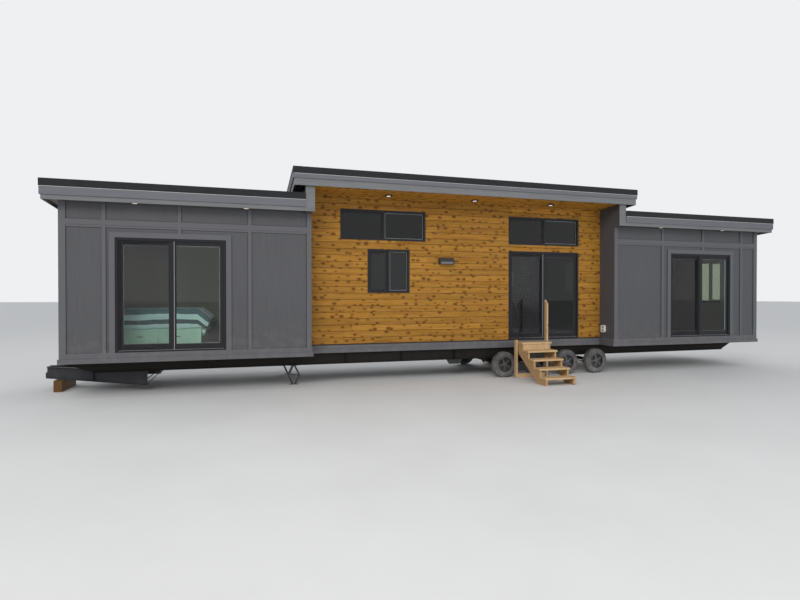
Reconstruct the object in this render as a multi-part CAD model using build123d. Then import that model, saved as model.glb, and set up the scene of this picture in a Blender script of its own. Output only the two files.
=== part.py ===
from build123d import *
import os
from math import atan, atan2, degrees, hypot

# Tiny house on wheels: two grey wings and a taller recessed cedar centre.
# Millimetres. X runs along the front, Y runs from the front to the back, Z is up from the ground.

# Plan
left_wing = 4280
left_end_setback = 19
centre = 6990
right_wing = 4320
house_depth = 2590
recess = 500
wall = 130

# Heights
rail_bottom = 388
rail_height = 286
floor_thickness = 120
wing_header_height = 620
transom_head = 271

# Roofs
slope = 0.065
framing_depth = 159
cover_depth = 125
cover_lip = 6
fascia_height = 217
wing_strip_height = 140
centre_strip_height = 85
board = 19
soffit_thickness = 12
wing_overhang = 240
left_end_overhang = 200
right_end_overhang = 235
back_overhang = 200
centre_overhang = 300
centre_side_overhang = 346
cheek_board_past = 45

# Trim boards
base_trim_drop = 54
base_step_height = 82
recess_trim_gap = 19
batten_width = 64
corner_board = 90
belt_above_casing = 71
belt_board = 95
belt_strip = 40
belt_strip_thickness = 11
soffit_gap = 1
batten_pitch = 1222
left_first_batten = 690
right_first_batten = 1377
casing_width = 95

# Patio doors
door_width = 1850
door_height = 2030
left_door_x = 862
centre_door_x = 4530
right_door_x = 1618
jamb = 45
sill = 30
frame_proud = 8
frame_depth = 118
stile = 60
top_rail = 65
bottom_rail = 95
panel_thickness = 38
outer_track = 14
track_gap = 8
door_glass = 20
slide_clearance = 5
roller_seat = 0.3
roller_length = 60
roller_width = 16
pull_height = 1010
pull_length = 220
pull_depth = 24
pull_width = 18
pull_inset = 20
pull_bar = 8
pull_foot = 20

# Windows; a tuple is width, height and sill height above the floor
window_frame_depth = 90
window_bar = 42
window_glass_thickness = 18
upper_window_width = 1866
upper_window_x = 651
transom_gap = 150
transom_height = 637
kitchen_window = (925, 924, 1069)
kitchen_window_x = 1230
end_window = (760, 1150, 820)
end_window_y = 920
back_window_x = 3050

# Chassis
rail_front_gap = 20
rail_nose = 336
rail_nose_rise = 124
rail_end_gap = 200
rail_taper = 310
rail_tip_height = 120
flange_width = 100
flange = 9
web = 7
first_cross_x = 1380
cross_pitch = 1220
cross_height = 150
cross_width = 50
outrigger_tip = 60
outrigger_thickness = 8

# Hitch
hitch_tip_height = 225
hitch_tip_depth = 222
hitch_rear_depth = 273
hitch_level = 350
hitch_beam_width = 76
hitch_rear_x = 1270
hitch_tip_x = -585
hitch_tip_spread = 75
hitch_stiffener_place = 863
brace_width = 40
brace_flat = 20
brace_feet = (3, 110)
brace_reaches = (270, 220)
coupler_length = 250
coupler_reach = 50
coupler_height = 110
coupler_ball = 51
coupler_drop = 12
timber_width = 140
timber_length = 790
timber_x = -310
timber_seat = 68
timber_gap = 0.3

# Running gear
wheel_radius = 280
tyre_width = 180
wheel_setback = 100
axle_count = 4
first_axle_x = 8525
axle_pitch = 790
axle_tube = 76
spindle = 34
spindle_past_disc = 4
bearing_gap = 0.05
bead_inset = 14
sidewall_rise = 34
sidewall_inset = 3
shoulder_drop = 52
tread_drop = 16
tread_inset = 38
rim_radius = 165
rim_thickness = 8
hub_radius = 46
hub_front = 22
hub_back_inset = 20
disc_thickness = 12
disc_setback = 46
spoke_count = 5
spoke_foot = 18
spoke_tip = 60
spoke_ring = 22
rim_ring = 12
drum_radius = 118
drum_thickness = 14
drum_gap = 6
spring_span = 610
spring_rise = 62
leaf = 8
leaf_count = 4
leaf_width = 45
spring_eye = 17
hanger_width = 60
hanger_thickness = 8
equaliser_height = 50

# Stair
stair_x = 8750
stair_width = 715
rise = 158
run = 225
tread_count = 5
tread_thickness = 38
tread_overhang = 20
stringer_thickness = 38
stringer_depth = 195
stair_front = -1130
post_width = 89
post_thickness = 38
newel_height = 1710
short_post_height = 830
post_face_y = -35

# Fittings
light_radius = 80
light_depth = 26
light_trim_gap = 2
lens_radius = 62
centre_lights = (1620, 3570, 5460)
wing_lights = (1200, 3070)
hood_x = 2820
hood_height_above_floor = 1696
hood_width = 330
hood_depth = 110
hood_top_depth = 66
hood_height = 140
hood_front_height = 63
outlet_y = 350
outlet_height_above_floor = 130
outlet_width = 140
outlet_height = 170
outlet_depth = 38
jack_x = 3980
jack_foot = 170
jack_arm = 38
jack_spread = 260
jack_screw = 16
folded_jack_x = 7490
folded_jack_length = 360
folded_jack_foot = 220
folded_jack_height = 100

# Bed behind the left door
bed_side_gap = 30
bed_back_gap = 220
bed_length = 2030
bed_width = 1520
bed_base_height = 440
quilt_height = 306
quilt_overhang = 130
quilt_drop = 250

# How far a cutter, or a piece that is fused to another, reaches past the face where they meet
over = 1

# Derived sizes and places
wing_wall_height = door_height + wing_header_height
transom_sill = door_height + transom_gap
centre_wall_height = transom_sill + transom_height + transom_head
upper_window = (upper_window_width, transom_height, transom_sill)
x_left = left_end_setback
x_recess = left_wing
x_recess_end = left_wing + centre
x_right = x_recess_end + right_wing
rail_front_x = x_left + rail_front_gap
rail_top = rail_bottom + rail_height
floor_top = rail_top + floor_thickness
base_bottom = rail_top - base_trim_drop
middle_y = house_depth / 2
rail_setback = recess + flange_width / 2
rail_rows = (rail_setback, house_depth - rail_setback)
roof_top = framing_depth + cover_depth
fascia_hang = framing_depth - fascia_height
tread_depth = run + tread_overhang
proud = board + cover_lip
door_top = floor_top + door_height
belt_bottom = door_top + casing_width + belt_above_casing
belt_middle = belt_bottom + belt_strip
belt_top = belt_middle + belt_board
bed_x = x_left + wall + bed_side_gap
bed_y = house_depth - wall - bed_back_gap - bed_width
door_places = (
    (left_door_x, 0),
    (x_recess + centre_door_x, recess),
    (x_recess_end + right_door_x, 0),
)
door_names = ("left_wing", "centre", "right_wing")
origin_x = (hitch_tip_x - coupler_reach + x_right + right_end_overhang + proud) / 2
origin_y = (stair_front + house_depth + back_overhang + proud) / 2


def block(x0, x1, y0, y1, z0, z1):
    """Block between two opposite corners."""
    place = Pos((x0 + x1) / 2, (y0 + y1) / 2, (z0 + z1) / 2)
    return place * Box(abs(x1 - x0), abs(y1 - y0), abs(z1 - z0))


def along_x(outline, x0, x1):
    """Prism of a (y, z) outline from x0 to x1."""
    face = Face(Wire.make_polygon([Vector(x0, y, z) for y, z in outline]))
    return extrude(face, x1 - x0, dir=(1, 0, 0))


def along_y(outline, y0, y1):
    """Prism of an (x, z) outline from y0 to y1."""
    face = Face(Wire.make_polygon([Vector(x, y0, z) for x, z in outline]))
    return extrude(face, y1 - y0, dir=(0, 1, 0))


def along_z(outline, z0, z1):
    """Prism of an (x, y) outline from z0 to z1."""
    face = Face(Wire.make_polygon([Vector(x, y, z0) for x, y in outline]))
    return extrude(face, z1 - z0, dir=(0, 0, 1))


def rod_y(radius, x, z, y0, y1):
    """Round bar along Y."""
    return Pos(x, (y0 + y1) / 2, z) * Rot(90, 0, 0) * Cylinder(radius, abs(y1 - y0))


def save(name, *shapes):
    """Write one node, moved so that the origin is on the ground under the middle of the house."""
    solids = [solid for shape in shapes for solid in shape.solids()]
    whole = solids[0] if len(solids) == 1 else Compound(solids)
    export_step(Pos(-origin_x, -origin_y, 0) * whole, f"parts/{name}.step")


def wing_ceiling(y):
    """Underside of the wing roof framing at a depth y."""
    return floor_top + wing_wall_height - slope * y


def centre_ceiling(y):
    """Underside of the centre roof framing at a depth y."""
    return floor_top + centre_wall_height - slope * (y - recess)


def layer(ceiling, x0, x1, y0, y1, bottom, top):
    """Slab parallel to a roof, between two heights above its ceiling plane."""
    outline = [
        (y0, ceiling(y0) + bottom),
        (y1, ceiling(y1) + bottom),
        (y1, ceiling(y1) + top),
        (y0, ceiling(y0) + top),
    ]
    return along_x(outline, x0, x1)


def plan_outline(out):
    """Plan of the house, grown outwards by a distance."""
    return [
        (x_left - out, -out),
        (x_recess + out, -out),
        (x_recess + out, recess - out),
        (x_recess_end - out, recess - out),
        (x_recess_end - out, -out),
        (x_right + out, -out),
        (x_right + out, house_depth + out),
        (x_left - out, house_depth + out),
    ]


def wall_piece(x0, x1, y0, y1, bottom, ceiling):
    """Wall between two corners, from a height up to a roof's ceiling plane."""
    outline = [(y0, bottom), (y1, bottom), (y1, ceiling(y1)), (y0, ceiling(y0))]
    return along_x(outline, x0, x1)


def ring(width, height, depth, side, head, foot):
    """Rectangular frame standing in XZ from the origin, its front face at y = 0."""
    outer = block(0, width, 0, depth, 0, height)
    return outer - block(side, width - side, -over, depth + over, foot, height - head)


# Floor and walls

def build_floor():
    save("floor_platform", along_z(plan_outline(0), rail_top, floor_top))
    inner = along_z(plan_outline(0), base_bottom - over, floor_top + over)
    low = floor_top - recess_trim_gap
    recess_cut = block(x_recess, x_recess_end, recess - 3 * board, recess, low, floor_top + over)
    boards = along_z(plan_outline(board), base_bottom, floor_top)
    step = along_z(plan_outline(2 * board), base_bottom, base_bottom + base_step_height)
    save("base_trim", boards + step - inner - recess_cut)


def window_hole(x, width, height, sill_height, y):
    """Cutter for a window in a wall whose front face is at y."""
    z = floor_top + sill_height
    return block(x, x + width, y - over, y + wall + over, z, z + height)


def build_walls():
    for name, start, end, door_x in (
        ("left_wing_front_wall", x_left, x_recess, door_places[0][0]),
        ("right_wing_front_wall", x_recess_end, x_right, door_places[2][0]),
    ):
        save(
            name,
            wall_piece(start, door_x, 0, wall, floor_top, wing_ceiling),
            wall_piece(door_x + door_width, end, 0, wall, floor_top, wing_ceiling),
        )
    headers = [
        wall_piece(x, x + door_width, 0, wall, door_top, wing_ceiling)
        for x in (door_places[0][0], door_places[2][0])
    ]
    save("wing_door_headers", *headers)

    centre_x = door_places[1][0]
    kitchen = x_recess + kitchen_window_x
    upper = x_recess + upper_window_x
    left_part = wall_piece(x_recess, centre_x, recess, recess + wall, floor_top, centre_ceiling)
    left_part -= window_hole(upper, *upper_window, recess)
    left_part -= window_hole(kitchen, *kitchen_window, recess)
    right_part = wall_piece(
        centre_x + door_width, x_recess_end, recess, recess + wall, floor_top, centre_ceiling
    )
    save("centre_front_wall", left_part, right_part)
    header = wall_piece(centre_x, centre_x + door_width, recess, recess + wall, door_top, centre_ceiling)
    header -= window_hole(centre_x, door_width, transom_height, transom_sill, recess)
    save("centre_door_header", header)

    inner_back = house_depth - wall
    save("left_end_wall", wall_piece(x_left, x_left + wall, wall, inner_back, floor_top, wing_ceiling))
    end_wall = wall_piece(x_right - wall, x_right, wall, inner_back, floor_top, wing_ceiling)
    width, height, sill_height = end_window
    end_sill = floor_top + sill_height
    window_x0 = x_right - wall - over
    window_x1 = x_right + over
    end_wall -= block(window_x0, window_x1, end_window_y, end_window_y + width, end_sill, end_sill + height)
    save("right_end_wall", end_wall)

    x0 = x_recess - wall
    x1 = x_recess_end + wall
    back = wall_piece(x_left, x0, inner_back, house_depth, floor_top, wing_ceiling)
    back += wall_piece(x0, x1, inner_back, house_depth, floor_top, centre_ceiling)
    back += wall_piece(x1, x_right, inner_back, house_depth, floor_top, wing_ceiling)
    for x in back_window_places():
        back -= window_hole(x, *kitchen_window, inner_back)
    save("back_wall", back)

    returns = []
    clerestories = []
    cheeks = []
    for x in (x_recess - wall, x_recess_end):
        returns.append(wall_piece(x, x + wall, wall, recess + wall, floor_top, centre_ceiling))
        upper_strip = [
            (recess + wall, wing_ceiling(recess + wall)),
            (inner_back, wing_ceiling(inner_back)),
            (inner_back, centre_ceiling(inner_back)),
            (recess + wall, centre_ceiling(recess + wall)),
        ]
        clerestories.append(along_x(upper_strip, x, x + wall))
        cheeks.append(along_x(cheek_outline(), x, x + wall))
    save("return_walls", *returns)
    save("clerestory_walls", *clerestories)
    save("roof_cheeks", *cheeks)


def back_window_places():
    """Left edges of the two windows in the back wall."""
    return (back_window_x, x_right - back_window_x - kitchen_window[0])


def cheek_outline():
    """Side of a wing roof's overhang, closed up to the centre roof."""
    front = board - wing_overhang
    return [
        (front, wing_ceiling(front) + fascia_hang),
        (0, wing_ceiling(0) + fascia_hang),
        (0, wing_ceiling(0)),
        (wall, wing_ceiling(wall)),
        (wall, centre_ceiling(wall)),
        (front, centre_ceiling(front)),
    ]


# Roofs

def roof_places():
    """Each roof's ceiling plane, X range, front, and which of its ends carry a fascia."""
    left = (wing_ceiling, x_left - left_end_overhang, x_recess - wall, -wing_overhang, 1, 0)
    middle = (
        centre_ceiling,
        x_recess - centre_side_overhang,
        x_recess_end + centre_side_overhang,
        -centre_overhang,
        1,
        1,
    )
    right = (wing_ceiling, x_recess_end + wall, x_right + right_end_overhang, -wing_overhang, 0, 1)
    return left, middle, right


def grown(place, out, bottom, top):
    """Layer of one roof, its fascia edges moved outwards by a distance."""
    ceiling, x0, x1, front, left_open, right_open = place
    back = house_depth + back_overhang
    return layer(
        ceiling, x0 - out * left_open, x1 + out * right_open, front - out, back + out, bottom, top
    )


def fascia(place, strip_height):
    """Main board and proud upper strip round the open edges of one roof."""
    strip_low = framing_depth - strip_height
    boards = grown(place, 0, fascia_hang, framing_depth) + grown(place, board, strip_low, framing_depth)
    return boards - grown(place, -board, fascia_hang - over, framing_depth + over)


def cheek_board(x0, x1):
    """Upright board that covers the front of a roof cheek."""
    front = -wing_overhang
    low = wing_ceiling(front) + fascia_hang
    outline = [
        (front, low),
        (front + board, low),
        (front + board, centre_ceiling(front + board) - soffit_thickness),
        (front, centre_ceiling(front) - soffit_thickness),
    ]
    return along_x(outline, x0, x1)


def build_roofs():
    places = roof_places()
    save("roof_framing", *[grown(place, -board, 0, framing_depth) for place in places])
    covers = [grown(place, proud, framing_depth, roof_top) for place in places]
    save("wing_roof_coverings", covers[0], covers[2])
    save("centre_roof_covering", covers[1])

    left_board = cheek_board(x_recess - wall, x_recess + cheek_board_past)
    right_board = cheek_board(x_recess_end - cheek_board_past, x_recess_end + wall)
    left_fascia = fascia(places[0], wing_strip_height)
    right_fascia = fascia(places[2], wing_strip_height)
    save("wing_fascias", left_fascia + left_board, right_fascia + right_board)
    save("centre_fascia", fascia(places[1], centre_strip_height))

    soffits = [grown(place, -board, -soffit_thickness, 0) for place in places]
    wing_block = block(x_left, x_right, 0, house_depth, 0, floor_top + centre_wall_height)
    save("wing_soffits", soffits[0] - wing_block, soffits[2] - wing_block)
    top = floor_top + 2 * centre_wall_height
    centre_block = block(x_recess - wall, x_recess_end + wall, recess, house_depth, 0, top)
    for x in (x_recess - wall, x_recess_end):
        centre_block += block(x, x + wall, board - wing_overhang, house_depth, 0, top)
    save("centre_soffit", soffits[1] - centre_block)


# Trim

def belt(x0, x1, face, side):
    """Belt on a wall face along X: a main board over a thinner strip, standing out on one side."""
    board_piece = block(x0, x1, face, face + side * board, belt_middle, belt_top)
    return board_piece + block(x0, x1, face, face + side * belt_strip_thickness, belt_bottom, belt_middle)


def wing_front_trim(start, end, first_batten, door_x, inner_corner):
    """Battens, corner boards, belt and door casing on one wing's front."""
    top = wing_ceiling(0) - soffit_thickness - soffit_gap
    trim = belt(start, end, 0, -1)
    for x in (start, end - corner_board):
        corner_top = wing_ceiling(0) + fascia_hang if x == inner_corner else top
        trim += block(x, x + corner_board, -board, 0, floor_top, corner_top)
    casing_x0 = door_x - casing_width
    casing_x1 = door_x + door_width + casing_width
    casing = block(casing_x0, casing_x1, -board, 0, floor_top, door_top + casing_width)
    casing -= block(door_x, door_x + door_width, -board - over, over, floor_top - over, door_top)
    trim += casing
    for index in range(3):
        x0 = first_batten + index * batten_pitch - batten_width / 2
        x1 = x0 + batten_width
        over_door = x1 > casing_x0 and x0 < casing_x1
        bottom = door_top + casing_width - over if over_door else floor_top
        trim += block(x0, x1, -board, 0, bottom, top)
    return trim


def window_casing(x, width, height, sill_height):
    """Casing boards round a window in the back wall."""
    frame = ring(
        width + 2 * casing_width, height + 2 * casing_width, board, casing_width, casing_width, casing_width
    )
    return Pos(x - casing_width, house_depth, floor_top + sill_height - casing_width) * frame


def back_trim():
    """Battens, corner boards, belt and window casings on the back wall."""
    face = house_depth
    top = wing_ceiling(face + board) - soffit_thickness - soffit_gap
    trim = belt(x_left, x_right, face, 1)
    for index in range(int(x_right / batten_pitch)):
        x0 = left_first_batten + index * batten_pitch - batten_width / 2
        trim += block(x0, x0 + batten_width, face, face + board, floor_top, top)
    for x in (x_left, x_right - corner_board):
        trim += block(x, x + corner_board, face, face + board, floor_top, top)
    for x in back_window_places():
        trim += window_casing(x, *kitchen_window)
        trim -= window_hole(x, *kitchen_window, face)
    return trim


def end_board(x0, x1, y0, y1):
    """Upright board on an end wall, its head cut to the slope of the soffit."""
    low = soffit_thickness + soffit_gap
    outline = [(y0, floor_top), (y1, floor_top), (y1, wing_ceiling(y1) - low), (y0, wing_ceiling(y0) - low)]
    return along_x(outline, x0, x1)


def end_trim(face, side):
    """Battens, corner boards, belt and window casing on one end wall."""
    x1 = face + side * board
    front = -board
    back = house_depth + board
    trim = block(face, x1, front, back, belt_middle, belt_top)
    trim += block(face, face + side * belt_strip_thickness, front, back, belt_bottom, belt_middle)
    middle = middle_y - batten_width / 2
    for y in (middle - batten_pitch / 2, middle + batten_pitch / 2):
        trim += end_board(face, x1, y, y + batten_width)
    trim += end_board(face, x1, front, corner_board)
    trim += end_board(face, x1, house_depth - corner_board, back)
    return trim


def build_trim():
    left_corner = x_recess - corner_board
    left = wing_front_trim(x_left, x_recess, left_first_batten, door_places[0][0], left_corner)
    right_batten = x_recess_end + right_first_batten
    right = wing_front_trim(x_recess_end, x_right, right_batten, door_places[2][0], x_recess_end)
    save("wing_front_trim", left, right)
    save("back_trim", back_trim())

    width, height, sill_height = end_window
    y0 = end_window_y
    y1 = y0 + width
    z0 = floor_top + sill_height
    z1 = z0 + height
    x1 = x_right + board
    casing = block(x_right, x1, y0 - casing_width, y1 + casing_width, z0 - casing_width, z1 + casing_width)
    right_end = end_trim(x_right, 1) + casing - block(x_right - over, x1 + over, y0, y1, z0, z1)
    save("end_trim", end_trim(x_left, -1), right_end)


# Patio doors

def door_inner_width():
    return door_width - 2 * jamb


def panel_width():
    return (door_inner_width() + stile) / 2


def sliding_track():
    return outer_track + panel_thickness + track_gap


def door_panel(width, height):
    """Stiles and rails of one door panel, its front face at y = 0."""
    return ring(width, height, panel_thickness, stile, top_rail, bottom_rail)


def panel_glass(width, height):
    """Glass of one door panel."""
    y = (panel_thickness - door_glass) / 2
    return block(stile, width - stile, y, y + door_glass, bottom_rail, height - top_rail)


def pull(face, side):
    """Pull handle standing off one face of a sliding panel."""
    z = pull_height - sill
    foot = face + side * roller_seat
    far = face + side * pull_depth
    bar = block(pull_inset, pull_inset + pull_width, foot, far, z, z + pull_length)
    grip = block(
        pull_inset - over,
        pull_inset + pull_width + over,
        foot - side * over,
        far - side * pull_bar,
        z + pull_foot,
        z + pull_length - pull_foot,
    )
    return bar - grip


def sliding_panel():
    """Sliding panel with its two rollers, standing on the sill track."""
    width = panel_width() - slide_clearance
    height = door_height - sill - jamb - 2 * slide_clearance
    panel = Pos(0, 0, slide_clearance) * door_panel(width, height)
    y0 = (panel_thickness - roller_width) / 2
    for x in (stile, width - stile - roller_length):
        panel += block(x, x + roller_length, y0, y0 + roller_width, roller_seat, slide_clearance + over)
    return panel


def build_doors():
    frames = []
    fixed = []
    fixed_glass = []
    height = door_height - sill - jamb
    for name, (x, y) in zip(door_names, door_places):
        place = Pos(x, y - frame_proud, floor_top)
        frames.append(place * ring(door_width, door_height, frame_depth + frame_proud, jamb, jamb, sill))
        inner = Pos(x + jamb, y, floor_top + sill)
        right_half = inner * Pos(door_inner_width() - panel_width(), outer_track, 0)
        fixed.append(right_half * door_panel(panel_width(), height))
        fixed_glass.append(right_half * panel_glass(panel_width(), height))
        left_half = inner * Pos(slide_clearance, sliding_track(), 0)
        pulls = [left_half * pull(0, -1), left_half * pull(panel_thickness, 1)]
        save(f"{name}_sliding_panel", left_half * sliding_panel(), *pulls)
        moving_height = height - 2 * slide_clearance
        pane = Pos(0, 0, slide_clearance) * panel_glass(panel_width() - slide_clearance, moving_height)
        save(f"{name}_sliding_glass", left_half * pane)
    save("patio_door_frames", *frames)
    save("fixed_door_panels", *fixed)
    save("fixed_door_glass", *fixed_glass)


# Windows

def window_unit(width, height):
    """Window frame with its meeting bar, and its two panes."""
    frame = ring(width, height, window_frame_depth + frame_proud, window_bar, window_bar, window_bar)
    middle = width / 2
    bar = block(
        middle - window_bar / 2,
        middle + window_bar / 2,
        frame_proud,
        window_frame_depth,
        window_bar - over,
        height - window_bar + over,
    )
    glass_y = (window_frame_depth + frame_proud - window_glass_thickness) / 2
    panes = [
        block(x0, x1, glass_y, glass_y + window_glass_thickness, window_bar, height - window_bar)
        for x0, x1 in (
            (window_bar, middle - window_bar / 2),
            (middle + window_bar / 2, width - window_bar),
        )
    ]
    return frame + bar, panes


def build_windows():
    front = recess - frame_proud
    back = house_depth + frame_proud
    upper_width, upper_height, upper_sill = upper_window
    small_width, small_height, small_sill = kitchen_window
    end_width, end_height, end_sill = end_window
    places = [
        (Pos(x_recess + upper_window_x, front, floor_top + upper_sill), upper_width, upper_height),
        (Pos(x_recess + kitchen_window_x, front, floor_top + small_sill), small_width, small_height),
        (Pos(door_places[1][0], front, floor_top + transom_sill), door_width, transom_height),
        (
            Pos(x_right + frame_proud, end_window_y, floor_top + end_sill) * Rot(0, 0, 90),
            end_width,
            end_height,
        ),
    ]
    for x in back_window_places():
        turned = Pos(x + small_width, back, floor_top + small_sill) * Rot(0, 0, 180)
        places.append((turned, small_width, small_height))
    frames = []
    panes = []
    for place, width, height in places:
        frame, pair = window_unit(width, height)
        frames.append(place * frame)
        panes.extend(place * pane for pane in pair)
    save("window_frames", *frames)
    save("window_glass", *panes)


# Chassis and hitch

def rail_end():
    return x_right - rail_end_gap


def build_rails():
    rails = []
    x0 = rail_front_x
    x1 = rail_end()
    for y in rail_rows:
        section = block(x0, x1, y - flange_width / 2, y + flange_width / 2, rail_bottom, rail_top)
        for side in (-1, 1):
            inner = y + side * web / 2
            outer = y + side * (flange_width / 2 + over)
            section -= block(x0 - over, x1 + over, inner, outer, rail_bottom + flange, rail_top - flange)
        rear_cut = [
            (x1 - rail_taper, rail_bottom - over),
            (x1 + over, rail_bottom - over),
            (x1 + over, rail_top - rail_tip_height),
            (x1, rail_top - rail_tip_height),
            (x1 - rail_taper, rail_bottom),
        ]
        nose_cut = [
            (x0 - over, rail_bottom - over),
            (x0 + rail_nose, rail_bottom - over),
            (x0 + rail_nose, rail_bottom),
            (x0, rail_bottom + rail_nose_rise),
            (x0 - over, rail_bottom + rail_nose_rise),
        ]
        for cut in (rear_cut, nose_cut):
            section -= along_y(cut, y - flange_width, y + flange_width)
        rails.append(section)
    save("chassis_rails", *rails)


def cross_places():
    """Left faces of the crossmembers: one at the front of the rails, then one every pitch."""
    count = int((rail_end() - rail_taper - first_cross_x) / cross_pitch) + 1
    return [rail_front_x] + [first_cross_x + index * cross_pitch for index in range(count)]


def outrigger(x, row, side, edge):
    """Tapered bracket from a rail's web out to the edge of the floor."""
    seat = rail_top - flange
    lip = row + side * flange_width / 2
    tip = edge - side * board
    outline = [
        (row + side * web / 2, rail_top - cross_height),
        (row + side * web / 2, seat),
        (lip, seat),
        (lip, rail_top),
        (tip, rail_top),
        (tip, rail_top - outrigger_tip),
    ]
    return along_x(outline, x, x + outrigger_thickness)


def web_stiffener(x, row, side):
    """Plate that fills one side of a rail between its flanges."""
    y0 = row + side * web / 2
    y1 = row + side * flange_width / 2
    return block(x, x + outrigger_thickness, y0, y1, rail_bottom + flange, rail_top - flange)


def build_crossmembers():
    near, far = rail_rows
    low = rail_top - cross_height
    high = rail_top - flange
    reach = wheel_radius + 2 * cross_width
    wheels_start = axle_places()[0] - reach
    wheels_end = axle_places()[-1] + reach
    members = []
    brackets = []
    for x in cross_places():
        member = block(x, x + cross_width, near + web / 2, far - web / 2, low, high)
        channel = block(x + web, x + cross_width + over, near, far, low + web, high - web)
        members.append(member - channel)
        if wheels_start < x < wheels_end:
            continue
        if x_recess - cross_width < x < x_recess_end:
            brackets.append(web_stiffener(x, near, -1))
        else:
            brackets.append(outrigger(x, near, -1, 0))
        brackets.append(outrigger(x, far, 1, house_depth))
    save("crossmembers", *members)
    save("outriggers", *brackets)


def hitch_low(x):
    """Height of a hitch beam's underside, which slopes down from the tip to the rear end."""
    share = (x - hitch_tip_x) / (hitch_rear_x - hitch_tip_x)
    return hitch_tip_height + share * (rail_bottom - hitch_rear_depth - hitch_tip_height)


def hitch_strip(side, half):
    """Upright strip along a hitch beam's run from its tip to a rail, a half width to each side."""
    dx = hitch_rear_x - hitch_tip_x
    tip = middle_y + side * hitch_tip_spread
    rear = middle_y + side * (middle_y - rail_setback)
    across = half * hypot(dx, rear - tip) / dx
    plan = [
        (hitch_tip_x, tip - across),
        (hitch_rear_x, rear - across),
        (hitch_rear_x, rear + across),
        (hitch_tip_x, tip + across),
    ]
    return along_z(plan, 0, rail_top)


def hitch_side(inset, past):
    """Side view of a hitch beam as a prism across the house, drawn in by an inset."""
    top = rail_bottom - inset
    outline = [
        (hitch_tip_x - past, hitch_low(hitch_tip_x - past) + inset),
        (hitch_rear_x - inset, hitch_low(hitch_rear_x - inset) + inset),
        (hitch_rear_x - inset, top),
        (hitch_rear_x - hitch_level, top),
        (hitch_tip_x - past, hitch_tip_height + hitch_tip_depth - inset),
    ]
    return along_y(outline, 0, house_depth)


def hitch_beam(side):
    """Hitch beam from its tip back to a rail: an I-section with a stiffener and a rear end plate."""
    whole = hitch_side(0, 0)
    wide = hitch_strip(side, hitch_beam_width / 2)
    beam = (wide & whole) - hitch_side(flange, over)
    beam += hitch_strip(side, web / 2) & whole
    x0 = hitch_tip_x + hitch_stiffener_place
    slice_at = block(x0, x0 + web, 0, house_depth, 0, rail_top)
    beam += wide & whole & slice_at
    row = middle_y + side * (middle_y - rail_setback)
    x1 = hitch_rear_x - flange
    for foot, reach in zip(brace_feet, brace_reaches):
        z0 = hitch_low(hitch_rear_x) + foot
        x2 = hitch_rear_x + reach
        flat = [(x1, z0), (x2, rail_bottom), (x2 - brace_flat, rail_bottom), (x1, z0 + brace_flat)]
        beam += along_y(flat, row - brace_width / 2, row + brace_width / 2)
    return beam


def coupler_half_width(x):
    """Half the width between the inner faces of the two hitch beams."""
    dx = hitch_rear_x - hitch_tip_x
    dy = middle_y - hitch_tip_spread - rail_setback
    beam = hitch_beam_width / 2 * hypot(dx, dy) / dx
    return hitch_tip_spread - beam + (x - hitch_tip_x) * dy / dx


def build_hitch():
    save("hitch_beams", hitch_beam(-1), hitch_beam(1))

    low = hitch_tip_height - coupler_drop
    nose = hitch_tip_x - coupler_reach
    half = coupler_half_width(hitch_tip_x)
    rear = nose + coupler_length
    wide = coupler_half_width(rear)
    plan = [
        (nose + half, middle_y - half),
        (hitch_tip_x, middle_y - half),
        (rear, middle_y - wide),
        (rear, middle_y + wide),
        (hitch_tip_x, middle_y + half),
        (nose + half, middle_y + half),
    ]
    body = along_z(plan, low, low + coupler_height)
    head = Pos(nose + half, middle_y, low + coupler_height / 2) * Cylinder(half, coupler_height)
    socket = Pos(nose + half, middle_y, low) * Sphere(coupler_ball / 2)
    save("hitch_coupler", body + head - socket)

    x0 = timber_x - timber_width / 2
    x1 = x0 + timber_width
    y0 = middle_y - timber_length / 2
    y1 = y0 + timber_length
    lower = block(x0, x1, y0, y1, 0, timber_seat - timber_gap)
    upper = along_y([(x0, timber_seat), (x1, timber_seat), (x1, hitch_low(x1)), (x0, hitch_low(x0))], y0, y1)
    save("support_timbers", lower, upper)


# Running gear

def tyre_section():
    """Section of the tyre and rim as (radius, y) points, their outer side at y = 0."""
    outer_side = [
        (rim_radius, bead_inset),
        (rim_radius + sidewall_rise, sidewall_inset),
        (wheel_radius - shoulder_drop, 0),
        (wheel_radius - tread_drop, bead_inset),
        (wheel_radius, tread_inset),
    ]
    inner_side = [(radius, tyre_width - y) for radius, y in reversed(outer_side)]
    bore = rim_radius - rim_thickness
    return outer_side + inner_side + [(bore, tyre_width - bead_inset), (bore, bead_inset)]


def wheel_solid():
    """Wheel standing on its edge at the origin, axis along Y, outer face at y = 0."""
    face = Face(Wire.make_polygon([Vector(radius, y, 0) for radius, y in tyre_section()]))
    tyre = revolve(face, Axis.Y)
    rim_bore = rim_radius - rim_thickness
    disc = rod_y(rim_bore + over, 0, 0, disc_setback - disc_thickness / 2, disc_setback + disc_thickness / 2)
    x0 = hub_radius + spoke_ring
    x1 = rim_bore - rim_ring
    window = [(x0, -spoke_foot / 2), (x1, -spoke_tip / 2), (x1, spoke_tip / 2), (x0, spoke_foot / 2)]
    for index in range(spoke_count):
        turn = Rot(0, 360 * index / spoke_count, 0)
        disc -= turn * along_y(window, 0, disc_setback * 2)
    hub_end = tyre_width - hub_back_inset
    hub = rod_y(hub_radius, 0, 0, disc_setback - hub_front, hub_end)
    bore = rod_y(spindle / 2 + bearing_gap, 0, 0, disc_setback, hub_end + over)
    return tyre + disc + hub - bore


def axle_places():
    return [first_axle_x + index * axle_pitch for index in range(axle_count)]


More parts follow.
